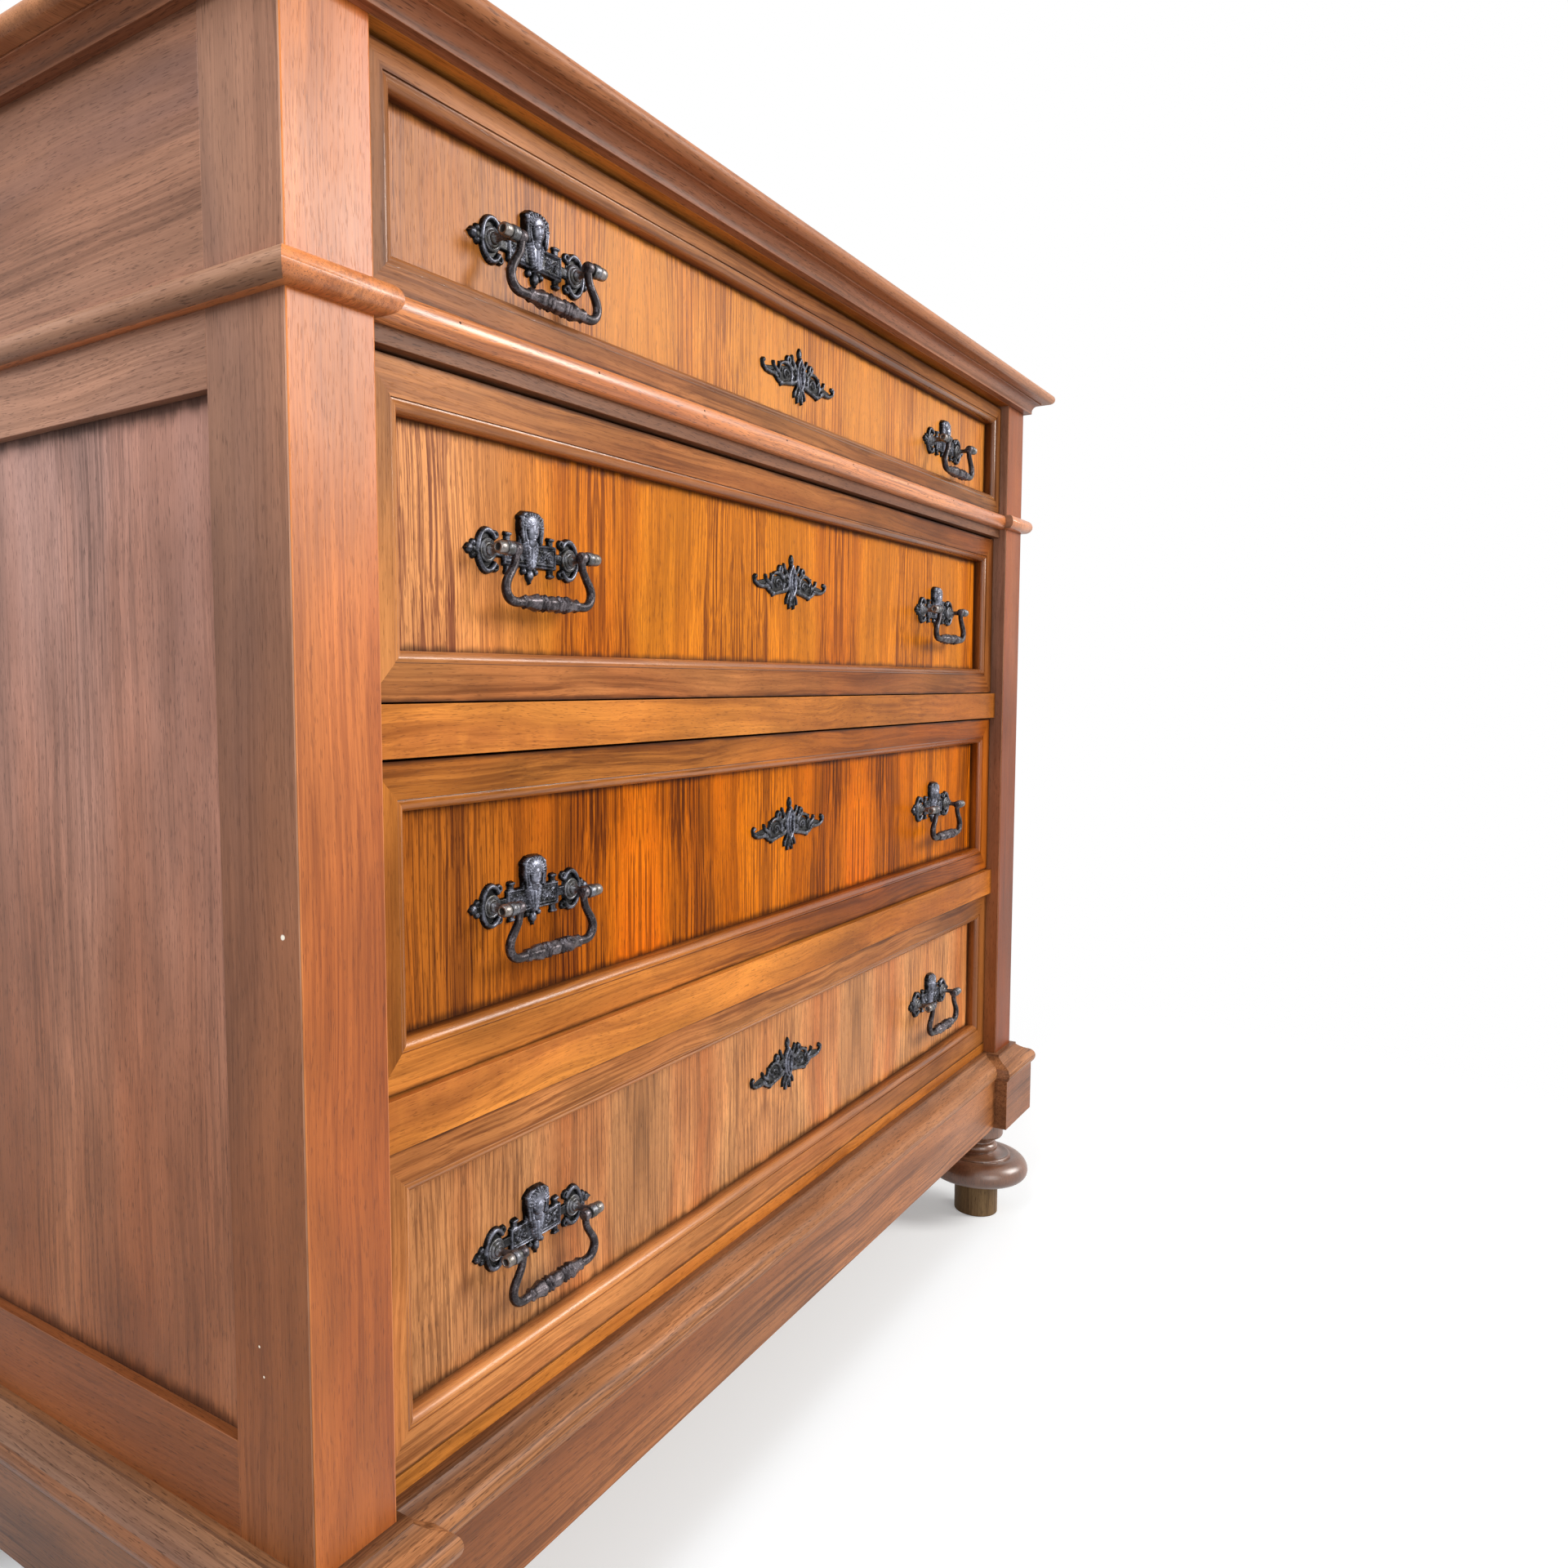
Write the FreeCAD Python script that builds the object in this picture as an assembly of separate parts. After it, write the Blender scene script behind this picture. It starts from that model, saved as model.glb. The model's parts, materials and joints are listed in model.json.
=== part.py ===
import FreeCAD, Part
import math
import os

from FreeCAD import Vector

# A walnut chest of four long drawers: corner posts with framed sides, a coved cornice under the
# top, a half-round waist bead, a moulded plinth that breaks forward under the front posts, and
# turned bun feet. Millimetres. X runs along the front, Y runs back, Z runs up.
# While the pieces are made, Y counts back from the front faces of the posts. The finished pieces
# then move so that the origin lies on the floor at the middle of the footprint.

# ---- case ----
case_width = 1120.0
case_depth = 530.0
foot_height = 126.0
post_width = 56.0
front_post_depth = 58.0
back_post_depth = 45.0
bottom_rail_height = 94.5
drawer_rail_height = 28.5
waist_rail_height = 26.5
top_rail_height = 12.0
opening_heights = (124.0, 181.0, 181.0, 184.0)
rail_back = 68.0
waist_rail_setback = 8.0
drawer_rail_setback = 9.3
bottom_rail_setback = 14.3

# ---- framed sides ----
side_rail_thickness = 22.0
side_bottom_rail_height = 136.7
side_waist_rail_drop = 54.7
side_panel_recess = 7.0
side_panel_thickness = 9.0
side_panel_tongue = 8.0

# ---- back and bottom ----
back_rail_thickness = 22.0
back_top_rail_height = 60.0
back_bottom_rail_height = 70.0
back_board_thickness = 10.0
back_board_count = 5
bottom_board_thickness = 18.0

# ---- top and cornice ----
top_thickness = 12.0
top_nose_out = 28.5
cornice_fillet_out = 7.5
cornice_fillet_height = 2.3
cornice_cove_radius = 8.4

# ---- waist bead ----
bead_height = 16.0
bead_base = 2.5
bead_drop = 1.0

# ---- plinth ----
plinth_out = 20.7
plinth_board_height = 58.0
cap_height = 26.5
cap_nose_out = 24.8
cap_fillet_out = 5.9
cap_fillet_height = 2.4

# ---- turned feet ----
collar_radius = 30.5
bun_radius = 60.0
stump_radius = 25.5
stump_height = 46.0
stump_ease = 2.0
collar_ease = 1.2
collar_undercut = 5.0
bun_rim_ease = 3.0
foot_dowel_radius = 11.0
foot_post_margin = 6.0

# ---- runners ----
runner_height = 20.0
runner_reach = 20.0
guide_height = 16.0

# ---- drawers, top drawer first ----
drawer_setbacks = (8.6, 14.5, 14.5, 14.5)
drawer_top_gaps = (3.0, 1.8, 1.8, 1.8)
drawer_bottom_gap = 1.0
drawer_side_gap = 1.2
drawer_run_gap = 0.3
drawer_back_gap = 0.5
frame_rail_widths = (12.8, 20.5, 20.5, 20.5)
frame_stile_widths = (15.5, 23.0, 23.0, 23.0)
front_frame_thickness = 11.5
field_moulding_width = 6.8
field_moulding_lip = 5.7
field_moulding_drop = 0.8
front_core_thickness = 16.0
drawer_side_thickness = 13.0
drawer_side_drop = 6.0
drawer_back_thickness = 12.0
drawer_bottom_thickness = 7.0
drawer_bottom_rise = 9.0
drawer_groove_depth = 5.0
dovetail_length = 12.0
dovetail_pitch = 40.0
dovetail_tip = 24.0
dovetail_root = 18.0

# ---- bail pulls ----
pull_insets = (206.0, 216.0)
pull_drops = (6.0, 1.6, 2.1, 2.6)
plate_thickness = 2.4
post_spacing = 78.5
pivot_stand = 17.5
pull_post_radius = 3.0
pull_head_radius = 4.4
pull_head_length = 6.0
pivot_radius = 2.0
pivot_clearance = 0.06
rosette_radius = 7.2
rosette_step = 1.0
rosette_dome_radius = 4.8
rosette_height = 5.0
hoop_radius = 10.6
hoop_wire = 2.2
hoop_upright_width = 3.6
finial_length = 8.0
finial_width = 3.2
finial_lobe_radius = 2.6
finial_lobe_place = 4.5
finial_lobe_spread = 3.0
strap_length = 50.0
strap_width = 15.0
strap_height = 2.0
strap_edge_width = 2.2
strap_arm_width = 4.8
ear_radius = 3.2
ear_inset = 5.0
ear_rise = 1.5
ear_relief = 0.8
hood_width = 17.0
hood_height = 25.5
hood_shoulder = 18.5
hood_relief = 4.6
head_width = 11.0
head_bottom = 5.5
head_top = 22.5
head_set = 2.4
drape_foot_width = 6.0
drape_relief = 4.0
pendant_bar_width = 14.0
pendant_ball_radius = 2.1
pendant_drop_width = 6.0
pendant_drop_top = 8.0
pendant_drop_tip = 17.0
bail_side_gap = 0.7
bail_wire_radius = 2.75
bail_knuckle_radius = 3.2
bail_neck_drop = 9.0
bail_drop = 30.0
bail_spread = 91.0
bail_bend_radius = 7.0
bail_ball_radius = 3.4
bail_grip_length = 50.0
grip_waist_radius = 3.2
grip_leaf = (14.6, 4.9, 3.4)
grip_beads = ((9.9, 4.4, 1.0), (6.6, 4.8, 1.3), (0.0, 4.5, 4.6))

# ---- keyhole plates and locks ----
keyhole_rises = (-3.0, 6.5, 11.0, 12.0)
keyplate_length = 134.0
keyplate_height = 45.0
keyplate_thickness = 2.4
keyhole_width = 3.6
keyhole_height = 13.0
keyhole_rim = 2.2
keyhole_rim_relief = 2.2
keyhole_frame_width = 15.8
keyhole_frame_height = 28.0
keyhole_frame_relief = 1.2
keyplate_pin_radius = 1.2
lock_width = 62.0
lock_height = 46.0
lock_thickness = 11.0
lock_bolt_width = 14.0
lock_bolt_thickness = 5.0
lock_bolt_gap = 1.5

# ---- places that follow from the sizes above ----
half_width = case_width / 2
post_inner = half_width - post_width
side_rail_inner = half_width - side_rail_thickness
back_post_front = case_depth - back_post_depth
back_face = case_depth - back_rail_thickness
bottom_opening = foot_height + bottom_rail_height
drawer_side_outer = post_inner - drawer_side_gap


def opening_floors():
    """Height of the floor of each drawer opening, top drawer first."""
    floors = []
    floor = bottom_opening
    rails_above = (drawer_rail_height, drawer_rail_height, waist_rail_height, 0.0)
    for height, rail in zip(reversed(opening_heights), rails_above):
        floors.append(floor)
        floor += height + rail
    return tuple(reversed(floors))


floors = opening_floors()
waist_top = floors[0]
top_rail_bottom = floors[0] + opening_heights[0]
case_top = top_rail_bottom + top_rail_height
side_panel_bottom = foot_height + side_bottom_rail_height
side_panel_top = waist_top - side_waist_rail_drop
bead_centre = waist_top - bead_drop - bead_height / 2
bead_reach = bead_base + bead_height / 2
back_foot_y = back_post_front - foot_post_margin - foot_dowel_radius
front_reach = max(top_nose_out, bun_radius - front_post_depth / 2)
back_reach = max(case_depth, back_foot_y + bun_radius)


# ---- ways to make a solid ----
def box(x0, x1, y0, y1, z0, z1):
    """Block between two corners."""
    return Part.makeBox(x1 - x0, y1 - y0, z1 - z0, Vector(x0, y0, z0))


def face(place, start, steps):
    """Flat face; a step is a point for a line, or a (through, end) pair for an arc."""
    edges = []
    here = start
    for step in steps:
        if isinstance(step[0], tuple):
            through, there = step
            edges.append(Part.Arc(place(*here), place(*through), place(*there)).toShape())
        else:
            there = step
            edges.append(Part.LineSegment(place(*here), place(*there)).toShape())
        here = there
    if here != start:
        edges.append(Part.LineSegment(place(*here), place(*start)).toShape())
    return Part.Face(Part.Wire(edges))


def plan_prism(points, z0, z1):
    """Upright prism over an outline seen from above."""
    plan = face(lambda x, y: Vector(x, y, z0), points[0], points[1:])
    return plan.extrude(Vector(0, 0, z1 - z0))


def front_prism(points, y0, y1):
    """Prism running back from an outline seen from the front."""
    outline = face(lambda x, z: Vector(x, y0, z), points[0], points[1:])
    return outline.extrude(Vector(0, y1 - y0, 0))


def mirrored(shape):
    """The same piece on the other side of the chest."""
    return shape.mirror(Vector(0, 0, 0), Vector(1, 0, 0))


def both_sides(shape):
    """The left piece and its mirror image."""
    return [shape, mirrored(shape)]


def joined(shapes):
    """One solid made of several that touch or overlap."""
    return shapes[0].multiFuse(shapes[1:]).removeSplitter()


def run_along_x(profile, x0, x1, base):
    """Moulding along X whose back lies on the plane y = base."""
    section = face(lambda out, z: Vector(x0, base - out, z), profile[0], profile[1:])
    return section.extrude(Vector(x1 - x0, 0, 0))


def run_along_y(profile, y0, y1, base, facing):
    """Moulding along Y whose back lies on the plane x = base and looks along facing."""
    section = face(lambda out, z: Vector(base + facing * out, y0, z), profile[0], profile[1:])
    return section.extrude(Vector(0, y1 - y0, 0))


def mitred(moulding, corners, z0, z1):
    """Moulding cut to its mitres, given as an outline from above."""
    return moulding.common(plan_prism(corners, z0, z1))


# ---- mouldings of the case ----
def side_strip(profile, reach, z0, z1):
    """Left side moulding, mitred at the front corner."""
    strip = run_along_y(profile, -reach, case_depth, -half_width, -1)
    corners = [
        (-half_width - reach, -reach),
        (-half_width, 0),
        (-half_width, case_depth),
        (-half_width - reach, case_depth),
    ]
    return mitred(strip, corners, z0, z1)


def post_strip(profile, reach, z0, z1):
    """Moulding across the left post, mitred at both ends."""
    strip = run_along_x(profile, -half_width - reach, -post_inner + reach, 0)
    corners = [
        (-half_width - reach, -reach),
        (-post_inner + reach, -reach),
        (-post_inner, 0),
        (-half_width, 0),
    ]
    return mitred(strip, corners, z0, z1)


def return_strip(profile, reach, setback, z0, z1):
    """Short return from the left post back to the set-back front."""
    strip = run_along_y(profile, -reach, setback, -post_inner, 1)
    corners = [
        (-post_inner, 0),
        (-post_inner + reach, -reach),
        (-post_inner + reach, setback - reach),
        (-post_inner, setback),
    ]
    return mitred(strip, corners, z0, z1)


def centre_strip(profile, reach, setback, z0, z1):
    """Long strip between the returns, mitred into their inside corners."""
    strip = run_along_x(profile, -post_inner, post_inner, setback)
    corners = [
        (-post_inner, setback),
        (-post_inner + reach, setback - reach),
        (post_inner - reach, setback - reach),
        (post_inner, setback),
    ]
    return mitred(strip, corners, z0, z1)


def cornice_profile():
    """Fillet below a hollow cove, up to the underside of the top."""
    cove_out = cornice_fillet_out + cornice_cove_radius
    cove_start = top_rail_bottom + cornice_fillet_height
    cove_end = cove_start + cornice_cove_radius
    middle = cornice_cove_radius * (1 - math.sqrt(0.5))
    return [
        (0, top_rail_bottom),
        (cornice_fillet_out, top_rail_bottom),
        (cornice_fillet_out, cove_start),
        ((cornice_fillet_out + middle, cove_end - middle), (cove_out, cove_end)),
        (cove_out, case_top),
        (0, case_top),
    ]


def cornice():
    """Front and side lengths of the cornice, mitred at the corners."""
    profile = cornice_profile()
    reach = cornice_fillet_out + cornice_cove_radius
    front = run_along_x(profile, -half_width - reach, half_width + reach, 0)
    corners = [
        (-half_width - reach, -reach),
        (half_width + reach, -reach),
        (half_width, 0),
        (-half_width, 0),
    ]
    front = mitred(front, corners, top_rail_bottom, case_top)
    sides = both_sides(side_strip(profile, reach, top_rail_bottom, case_top))
    return front, sides


def bead_profile():
    """Half-round bead on a narrow base."""
    low = bead_centre - bead_height / 2
    high = bead_centre + bead_height / 2
    return [
        (0, low),
        (bead_base, low),
        ((bead_reach, bead_centre), (bead_base, high)),
        (0, high),
    ]


def waist_beads():
    """Long front bead, then the side, post and return lengths of both ends."""
    profile = bead_profile()
    low = bead_centre - bead_height / 2
    high = bead_centre + bead_height / 2
    front = centre_strip(profile, bead_reach, waist_rail_setback, low, high)
    ends = both_sides(side_strip(profile, bead_reach, low, high))
    ends += both_sides(post_strip(profile, bead_reach, low, high))
    ends += both_sides(return_strip(profile, bead_reach, waist_rail_setback, low, high))
    return front, ends


def cap_profile(low):
    """Plinth cap: a full nose, a hollow above it, then a fillet against the case."""
    high = low + cap_height
    fillet_low = high - cap_fillet_height
    nose_level = low + 0.32 * cap_height
    shoulder = (0.74 * cap_nose_out, low + 0.65 * cap_height)
    hollow = (0.44 * cap_nose_out, low + 0.77 * cap_height)
    return [
        (0, low),
        (plinth_out, low),
        ((cap_nose_out, nose_level), shoulder),
        (hollow, (cap_fillet_out, fillet_low)),
        (cap_fillet_out, high),
        (0, high),
    ]


def plinth_cap():
    """Front centre length, and the side, post and return lengths of both ends."""
    low = foot_height + plinth_board_height
    high = low + cap_height
    profile = cap_profile(low)
    strips = [centre_strip(profile, cap_nose_out, bottom_rail_setback, low, high)]
    strips += both_sides(side_strip(profile, cap_nose_out, low, high))
    strips += both_sides(post_strip(profile, cap_nose_out, low, high))
    strips += both_sides(return_strip(profile, cap_nose_out, bottom_rail_setback, low, high))
    return strips


def plinth_boards():
    """Recessed front board, the side boards, and the blocks under the front posts."""
    low = foot_height
    high = foot_height + plinth_board_height
    block_inner = -post_inner + plinth_out
    front = box(block_inner, -block_inner, bottom_rail_setback - plinth_out, bottom_rail_setback, low, high)
    side = plan_prism([
        (-half_width - plinth_out, -plinth_out),
        (-half_width, 0),
        (-half_width, case_depth),
        (-half_width - plinth_out, case_depth),
    ], low, high)
    block = plan_prism([
        (-half_width - plinth_out, -plinth_out),
        (block_inner, -plinth_out),
        (block_inner, bottom_rail_setback),
        (-post_inner, bottom_rail_setback),
        (-post_inner, 0),
        (-half_width, 0),
    ], low, high)
    return front, both_sides(side), both_sides(block)


# ---- top, feet and frame of the case ----
def top_board():
    """Top with a half-round nose on the front and both ends."""
    nose = top_thickness / 2
    edge = half_width + top_nose_out
    z0 = case_top
    z1 = case_top + top_thickness
    zc = case_top + nose
    across = front_prism([
        (-edge + nose, z0),
        (edge - nose, z0),
        ((edge, zc), (edge - nose, z1)),
        (-edge + nose, z1),
        ((-edge, zc), (-edge + nose, z0)),
    ], -top_nose_out, case_depth)
    section = face(lambda y, z: Vector(-edge, y, z), (case_depth, z0), [
        (case_depth, z1),
        (nose - top_nose_out, z1),
        ((-top_nose_out, zc), (nose - top_nose_out, z0)),
    ])
    return across.common(section.extrude(Vector(2 * edge, 0, 0)))


def foot_profile():
    """Half section of a foot: dowel, collar, neck, bead, dish, bun and stump."""
    rim = 0.655 * bun_radius
    neck = 0.64 * collar_radius
    bead = 0.79 * collar_radius
    span = foot_height - stump_height
    level = [foot_height - span * share for share in (0.29, 0.345, 0.365, 0.395, 0.45, 0.525, 0.595, 0.635)]
    dish = stump_height + 0.38 * span
    bun_middle = stump_height + 0.15 * span
    return [
        (0, foot_height + bottom_board_thickness),
        (foot_dowel_radius, foot_height + bottom_board_thickness),
        (foot_dowel_radius, foot_height),
        (collar_radius, foot_height),
        (collar_radius, level[0]),
        ((collar_radius - collar_ease, level[1]), (collar_radius - collar_undercut, level[2])),
        ((neck + collar_ease, level[3]), (neck, level[4])),
        ((bead, level[5]), (neck + collar_ease, level[6])),
        ((0.75 * rim, level[7]), (rim - bun_rim_ease, dish)),
        ((rim - 0.12 * bun_rim_ease, dish - 0.3 * bun_rim_ease), (rim, dish - bun_rim_ease)),
        ((0.94 * bun_radius, stump_height + 0.28 * span), (bun_radius, bun_middle)),
        ((0.925 * bun_radius, stump_height + 0.035 * span), (0.73 * bun_radius, stump_height)),
        (stump_radius, stump_height),
        (stump_radius, stump_ease),
        ((stump_radius - 0.3 * stump_ease, 0.3 * stump_ease), (stump_radius - stump_ease, 0)),
        (0, 0),
    ]


def foot(x, y):
    """One turned foot standing at x, y."""
    profile = foot_profile()
    section = face(lambda radius, z: Vector(x + radius, y, z), profile[0], profile[1:])
    return section.revolve(Vector(x, y, 0), Vector(0, 0, 1), 360)


def foot_places():
    """Front feet under the posts; back feet just inside the back posts, in the bottom board."""
    front_x = half_width - post_width / 2
    back_x = side_rail_inner - foot_post_margin - foot_dowel_radius
    front_y = front_post_depth / 2
    return [(-front_x, front_y), (front_x, front_y), (-back_x, back_foot_y), (back_x, back_foot_y)]


def dowel_hole(x, y):
    """Hole that a foot's dowel fills."""
    return Part.makeCylinder(foot_dowel_radius, bottom_board_thickness, Vector(x, y, foot_height))


def side_panel():
    """Left recessed panel with the tongues that stand in its frame."""
    outer = -half_width + side_panel_recess
    return box(
        outer, outer + side_panel_thickness,
        front_post_depth - side_panel_tongue, back_post_front + side_panel_tongue,
        side_panel_bottom - side_panel_tongue, side_panel_top + side_panel_tongue,
    )


def side_rails():
    """Left bottom rail, waist rail and flush upper rail, grooved for the panel."""
    levels = [
        (foot_height, side_panel_bottom),
        (side_panel_top, bead_centre),
        (bead_centre, case_top),
    ]
    panel = side_panel()
    rails = []
    for z0, z1 in levels:
        rail = box(-half_width, -side_rail_inner, front_post_depth, back_post_front, z0, z1)
        rails.append(rail.cut(panel))
    return rails


def front_post():
    """Left front post with its panel groove and dowel hole."""
    post = box(-half_width, -post_inner, 0, front_post_depth, foot_height, case_top)
    x, y = foot_places()[0]
    return post.cut(side_panel()).cut(dowel_hole(x, y))


def back_post():
    """Left back post with its panel groove."""
    post = box(-half_width, -post_inner, back_post_front, case_depth, foot_height, case_top)
    return post.cut(side_panel())


def front_rail(setback, z0, z1):
    """Rail between the front posts."""
    return box(-post_inner, post_inner, setback, rail_back, z0, z1)


def bottom_board():
    """Bottom of the case, which carries the back feet."""
    board = box(-side_rail_inner, side_rail_inner, rail_back, back_face, foot_height,
                foot_height + bottom_board_thickness)
    corner = box(-side_rail_inner, -post_inner, back_post_front, back_face, foot_height,
                 foot_height + bottom_board_thickness)
    board = board.cut(corner).cut(mirrored(corner))
    for x, y in foot_places()[2:]:
        board = board.cut(dowel_hole(x, y))
    return board


def back_frame():
    """Top and bottom rails of the back."""
    top = box(-post_inner, post_inner, back_face, case_depth, case_top - back_top_rail_height, case_top)
    bottom = box(-post_inner, post_inner, back_face, case_depth, foot_height,
                 foot_height + back_bottom_rail_height)
    return [top, bottom]


def back_boards():
    """Upright boards between the back rails."""
    width = 2 * post_inner / back_board_count
    boards = []
    for index in range(back_board_count):
        x0 = -post_inner + index * width
        boards.append(box(x0, x0 + width, back_face, back_face + back_board_thickness,
                          foot_height + back_bottom_rail_height, case_top - back_top_rail_height))
    return boards


def runners():
    """Runner and guide on each side of every drawer opening."""
    strips = []
    for floor in floors:
        runner = box(-side_rail_inner, -post_inner + runner_reach, rail_back, back_post_front,
                     floor - runner_height, floor)
        guide = box(-side_rail_inner, -post_inner, rail_back, back_post_front,
                    floor, floor + guide_height)
        strips += both_sides(runner) + both_sides(guide)
    return strips


# ---- drawers ----
def drawer_levels(index):
    """Bottom and top of a drawer front."""
    bottom = floors[index] + drawer_bottom_gap
    top = floors[index] + opening_heights[index] - drawer_top_gaps[index]
    return bottom, top


def field_depth(index):
    """Depth of the veneered field behind the post faces."""
    return drawer_setbacks[index] + front_frame_thickness


def tail_centres(index):
    """Heights of the dovetails in one drawer corner."""
    z0 = floors[index] + drawer_run_gap
    z1 = drawer_levels(index)[1] - drawer_side_drop
    count = max(2, int((z1 - z0) // dovetail_pitch))
    pitch = (z1 - z0) / count
    return [z0 + pitch * (number + 0.5) for number in range(count)]


def tails(index):
    """Dovetails of the left side, lapped into the front."""
    root = field_depth(index) + front_core_thickness
    tip = root - dovetail_length
    shapes = []
    for centre in tail_centres(index):
        tail = face(lambda y, z: Vector(-drawer_side_outer, y, z), (root, centre - dovetail_root / 2), [
            (tip, centre - dovetail_tip / 2),
            (tip, centre + dovetail_tip / 2),
            (root, centre + dovetail_root / 2),
        ])
        shapes.append(tail.extrude(Vector(drawer_side_thickness, 0, 0)))
    return shapes


def drawer_bottom(index):
    """Thin bottom, grooved into the front and sides and passing under the back."""
    reach = drawer_side_outer - drawer_side_thickness + drawer_groove_depth
    y0 = field_depth(index) + front_core_thickness - drawer_groove_depth
    z0 = floors[index] + drawer_run_gap + drawer_bottom_rise
    return box(-reach, reach, y0, back_face - drawer_back_gap, z0, z0 + drawer_bottom_thickness)


def drawer_side(index):
    """Left side with its dovetails and bottom groove."""
    z0 = floors[index] + drawer_run_gap
    z1 = drawer_levels(index)[1] - drawer_side_drop
    board = box(-drawer_side_outer, -drawer_side_outer + drawer_side_thickness,
                field_depth(index) + front_core_thickness, back_face - drawer_back_gap, z0, z1)
    return joined([board] + tails(index)).cut(drawer_bottom(index))


def drawer_back(index):
    """Back between the sides, standing on the bottom."""
    inner = drawer_side_outer - drawer_side_thickness
    z0 = floors[index] + drawer_run_gap + drawer_bottom_rise + drawer_bottom_thickness
    z1 = drawer_levels(index)[1] - drawer_side_drop
    y1 = back_face - drawer_back_gap
    return box(-inner, inner, y1 - drawer_back_thickness, y1, z0, z1)


def drawer_front(index):
    """Front board behind the field, with dovetail sockets, bottom groove and keyhole."""
    z0, z1 = drawer_levels(index)
    y0 = field_depth(index)
    board = box(-drawer_side_outer, drawer_side_outer, y0, y0 + front_core_thickness, z0, z1)
    for tail in tails(index):
        board = board.cut(tail).cut(mirrored(tail))
    board = board.cut(drawer_bottom(index))
    return board.cut(keyhole(index, y0, y0 + front_core_thickness))


def front_corners(index, share, inset):
    """Corners of a rectangle inside a drawer front: share of the frame's widths, then inset."""
    z0, z1 = drawer_levels(index)
    x = drawer_side_outer - share * frame_stile_widths[index] - inset
    low = z0 + share * frame_rail_widths[index] + inset
    high = z1 - share * frame_rail_widths[index] - inset
    return [(-x, low), (x, low), (x, high), (-x, high)]


def mitred_quarters(outer, inner, y0, y1):
    """Four prisms between two rectangles, meeting at the mitres."""
    pieces = []
    for number in range(4):
        after = (number + 1) % 4
        pieces.append(front_prism([outer[number], outer[after], inner[after], inner[number]], y0, y1))
    return pieces


def front_frame(index):
    """Mitred frame strips applied round the field."""
    y0 = drawer_setbacks[index]
    outer = front_corners(index, 0, 0)
    inner = front_corners(index, 1, 0)
    return mitred_quarters(outer, inner, y0, field_depth(index))


def field_profile():
    """Thumbnail moulding: inward from the frame's edge, and back from the frame's face."""
    crown = (0.62 * field_moulding_width, 1.1 * field_moulding_drop)
    return [
        (0, front_frame_thickness),
        (0, field_moulding_drop),
        (crown, (field_moulding_width, field_moulding_lip)),
        (field_moulding_width, front_frame_thickness),
    ]


def field_moulding(index):
    """Mitred thumbnail moulding lining the inside of the frame."""
    profile = field_profile()
    y0 = drawer_setbacks[index]
    outer = front_corners(index, 1, 0)
    inner = front_corners(index, 1, field_moulding_width)
    quarters = mitred_quarters(outer, inner, y0, field_depth(index))
    (x0, z0), (x1, z1) = outer[0], outer[2]
    width = x1 - x0
    height = z1 - z0
    low = face(lambda u, d: Vector(x0, y0 + d, z0 + u), profile[0], profile[1:])
    high = face(lambda u, d: Vector(x0, y0 + d, z1 - u), profile[0], profile[1:])
    left = face(lambda u, d: Vector(x0 + u, y0 + d, z0), profile[0], profile[1:])
    right = face(lambda u, d: Vector(x1 - u, y0 + d, z0), profile[0], profile[1:])
    runs = [
        low.extrude(Vector(width, 0, 0)),
        right.extrude(Vector(0, 0, height)),
        high.extrude(Vector(width, 0, 0)),
        left.extrude(Vector(0, 0, height)),
    ]
    return [run.common(quarter) for run, quarter in zip(runs, quarters)]


# ---- bail pulls ----
def pull_centres(index):
    """Pivot centre of the left and right pull of a drawer: x and z."""
    z0, z1 = drawer_levels(index)
    z = (z0 + z1) / 2 - pull_drops[index]
    return [(-half_width + pull_insets[0], z), (half_width - pull_insets[1], z)]


def disc_out(x, y, z, radius, height):
    """Disc standing forward from the plane y."""
    return Part.makeCylinder(radius, height, Vector(x, y, z), Vector(0, -1, 0))


def raised_box(x0, x1, z0, z1, height):
    """Block standing forward from the plane of the field."""
    return box(min(x0, x1), max(x0, x1), -height, 0, min(z0, z1), max(z0, z1))


def finial(side):
    """Trefoil tip beyond a rosette, as three lobes and a stem."""
    root = post_spacing / 2 + hoop_radius
    tip = root + finial_length
    side_lobe = root + finial_lobe_place
    stem = raised_box(side * root, side * tip, -finial_width / 2, finial_width / 2, plate_thickness)
    lobes = [
        disc_out(side * tip, 0, 0, finial_lobe_radius, plate_thickness),
        disc_out(side * side_lobe, 0, finial_lobe_spread, finial_lobe_radius, plate_thickness),
        disc_out(side * side_lobe, 0, -finial_lobe_spread, finial_lobe_radius, plate_thickness),
    ]
    return [stem] + lobes


def rosette(side):
    """Pierced hoop, stepped rosette, post and bored head at one end of a plate."""
    x = side * post_spacing / 2
    arm = strap_arm_width / 2
    spoke = hoop_upright_width / 2
    hoop = disc_out(x, 0, 0, hoop_radius + hoop_wire, plate_thickness)
    hoop = hoop.cut(disc_out(x, 0, 0, hoop_radius - hoop_wire / 2, plate_thickness))
    bridge = raised_box(x - hoop_radius, x + hoop_radius, -arm, arm, plate_thickness)
    upright = raised_box(x - spoke, x + spoke, -hoop_radius, hoop_radius, plate_thickness)
    seat = disc_out(x, 0, 0, rosette_radius, plate_thickness + rosette_step)
    dome = disc_out(x, 0, 0, rosette_dome_radius, rosette_height)
    post = disc_out(x, 0, 0, pull_post_radius, pivot_stand)
    head = Part.makeCylinder(pull_head_radius, pull_head_length,
                             Vector(x - pull_head_length / 2, -pivot_stand, 0), Vector(1, 0, 0))
    return [hoop, bridge, upright, seat, dome, post, head]


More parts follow.
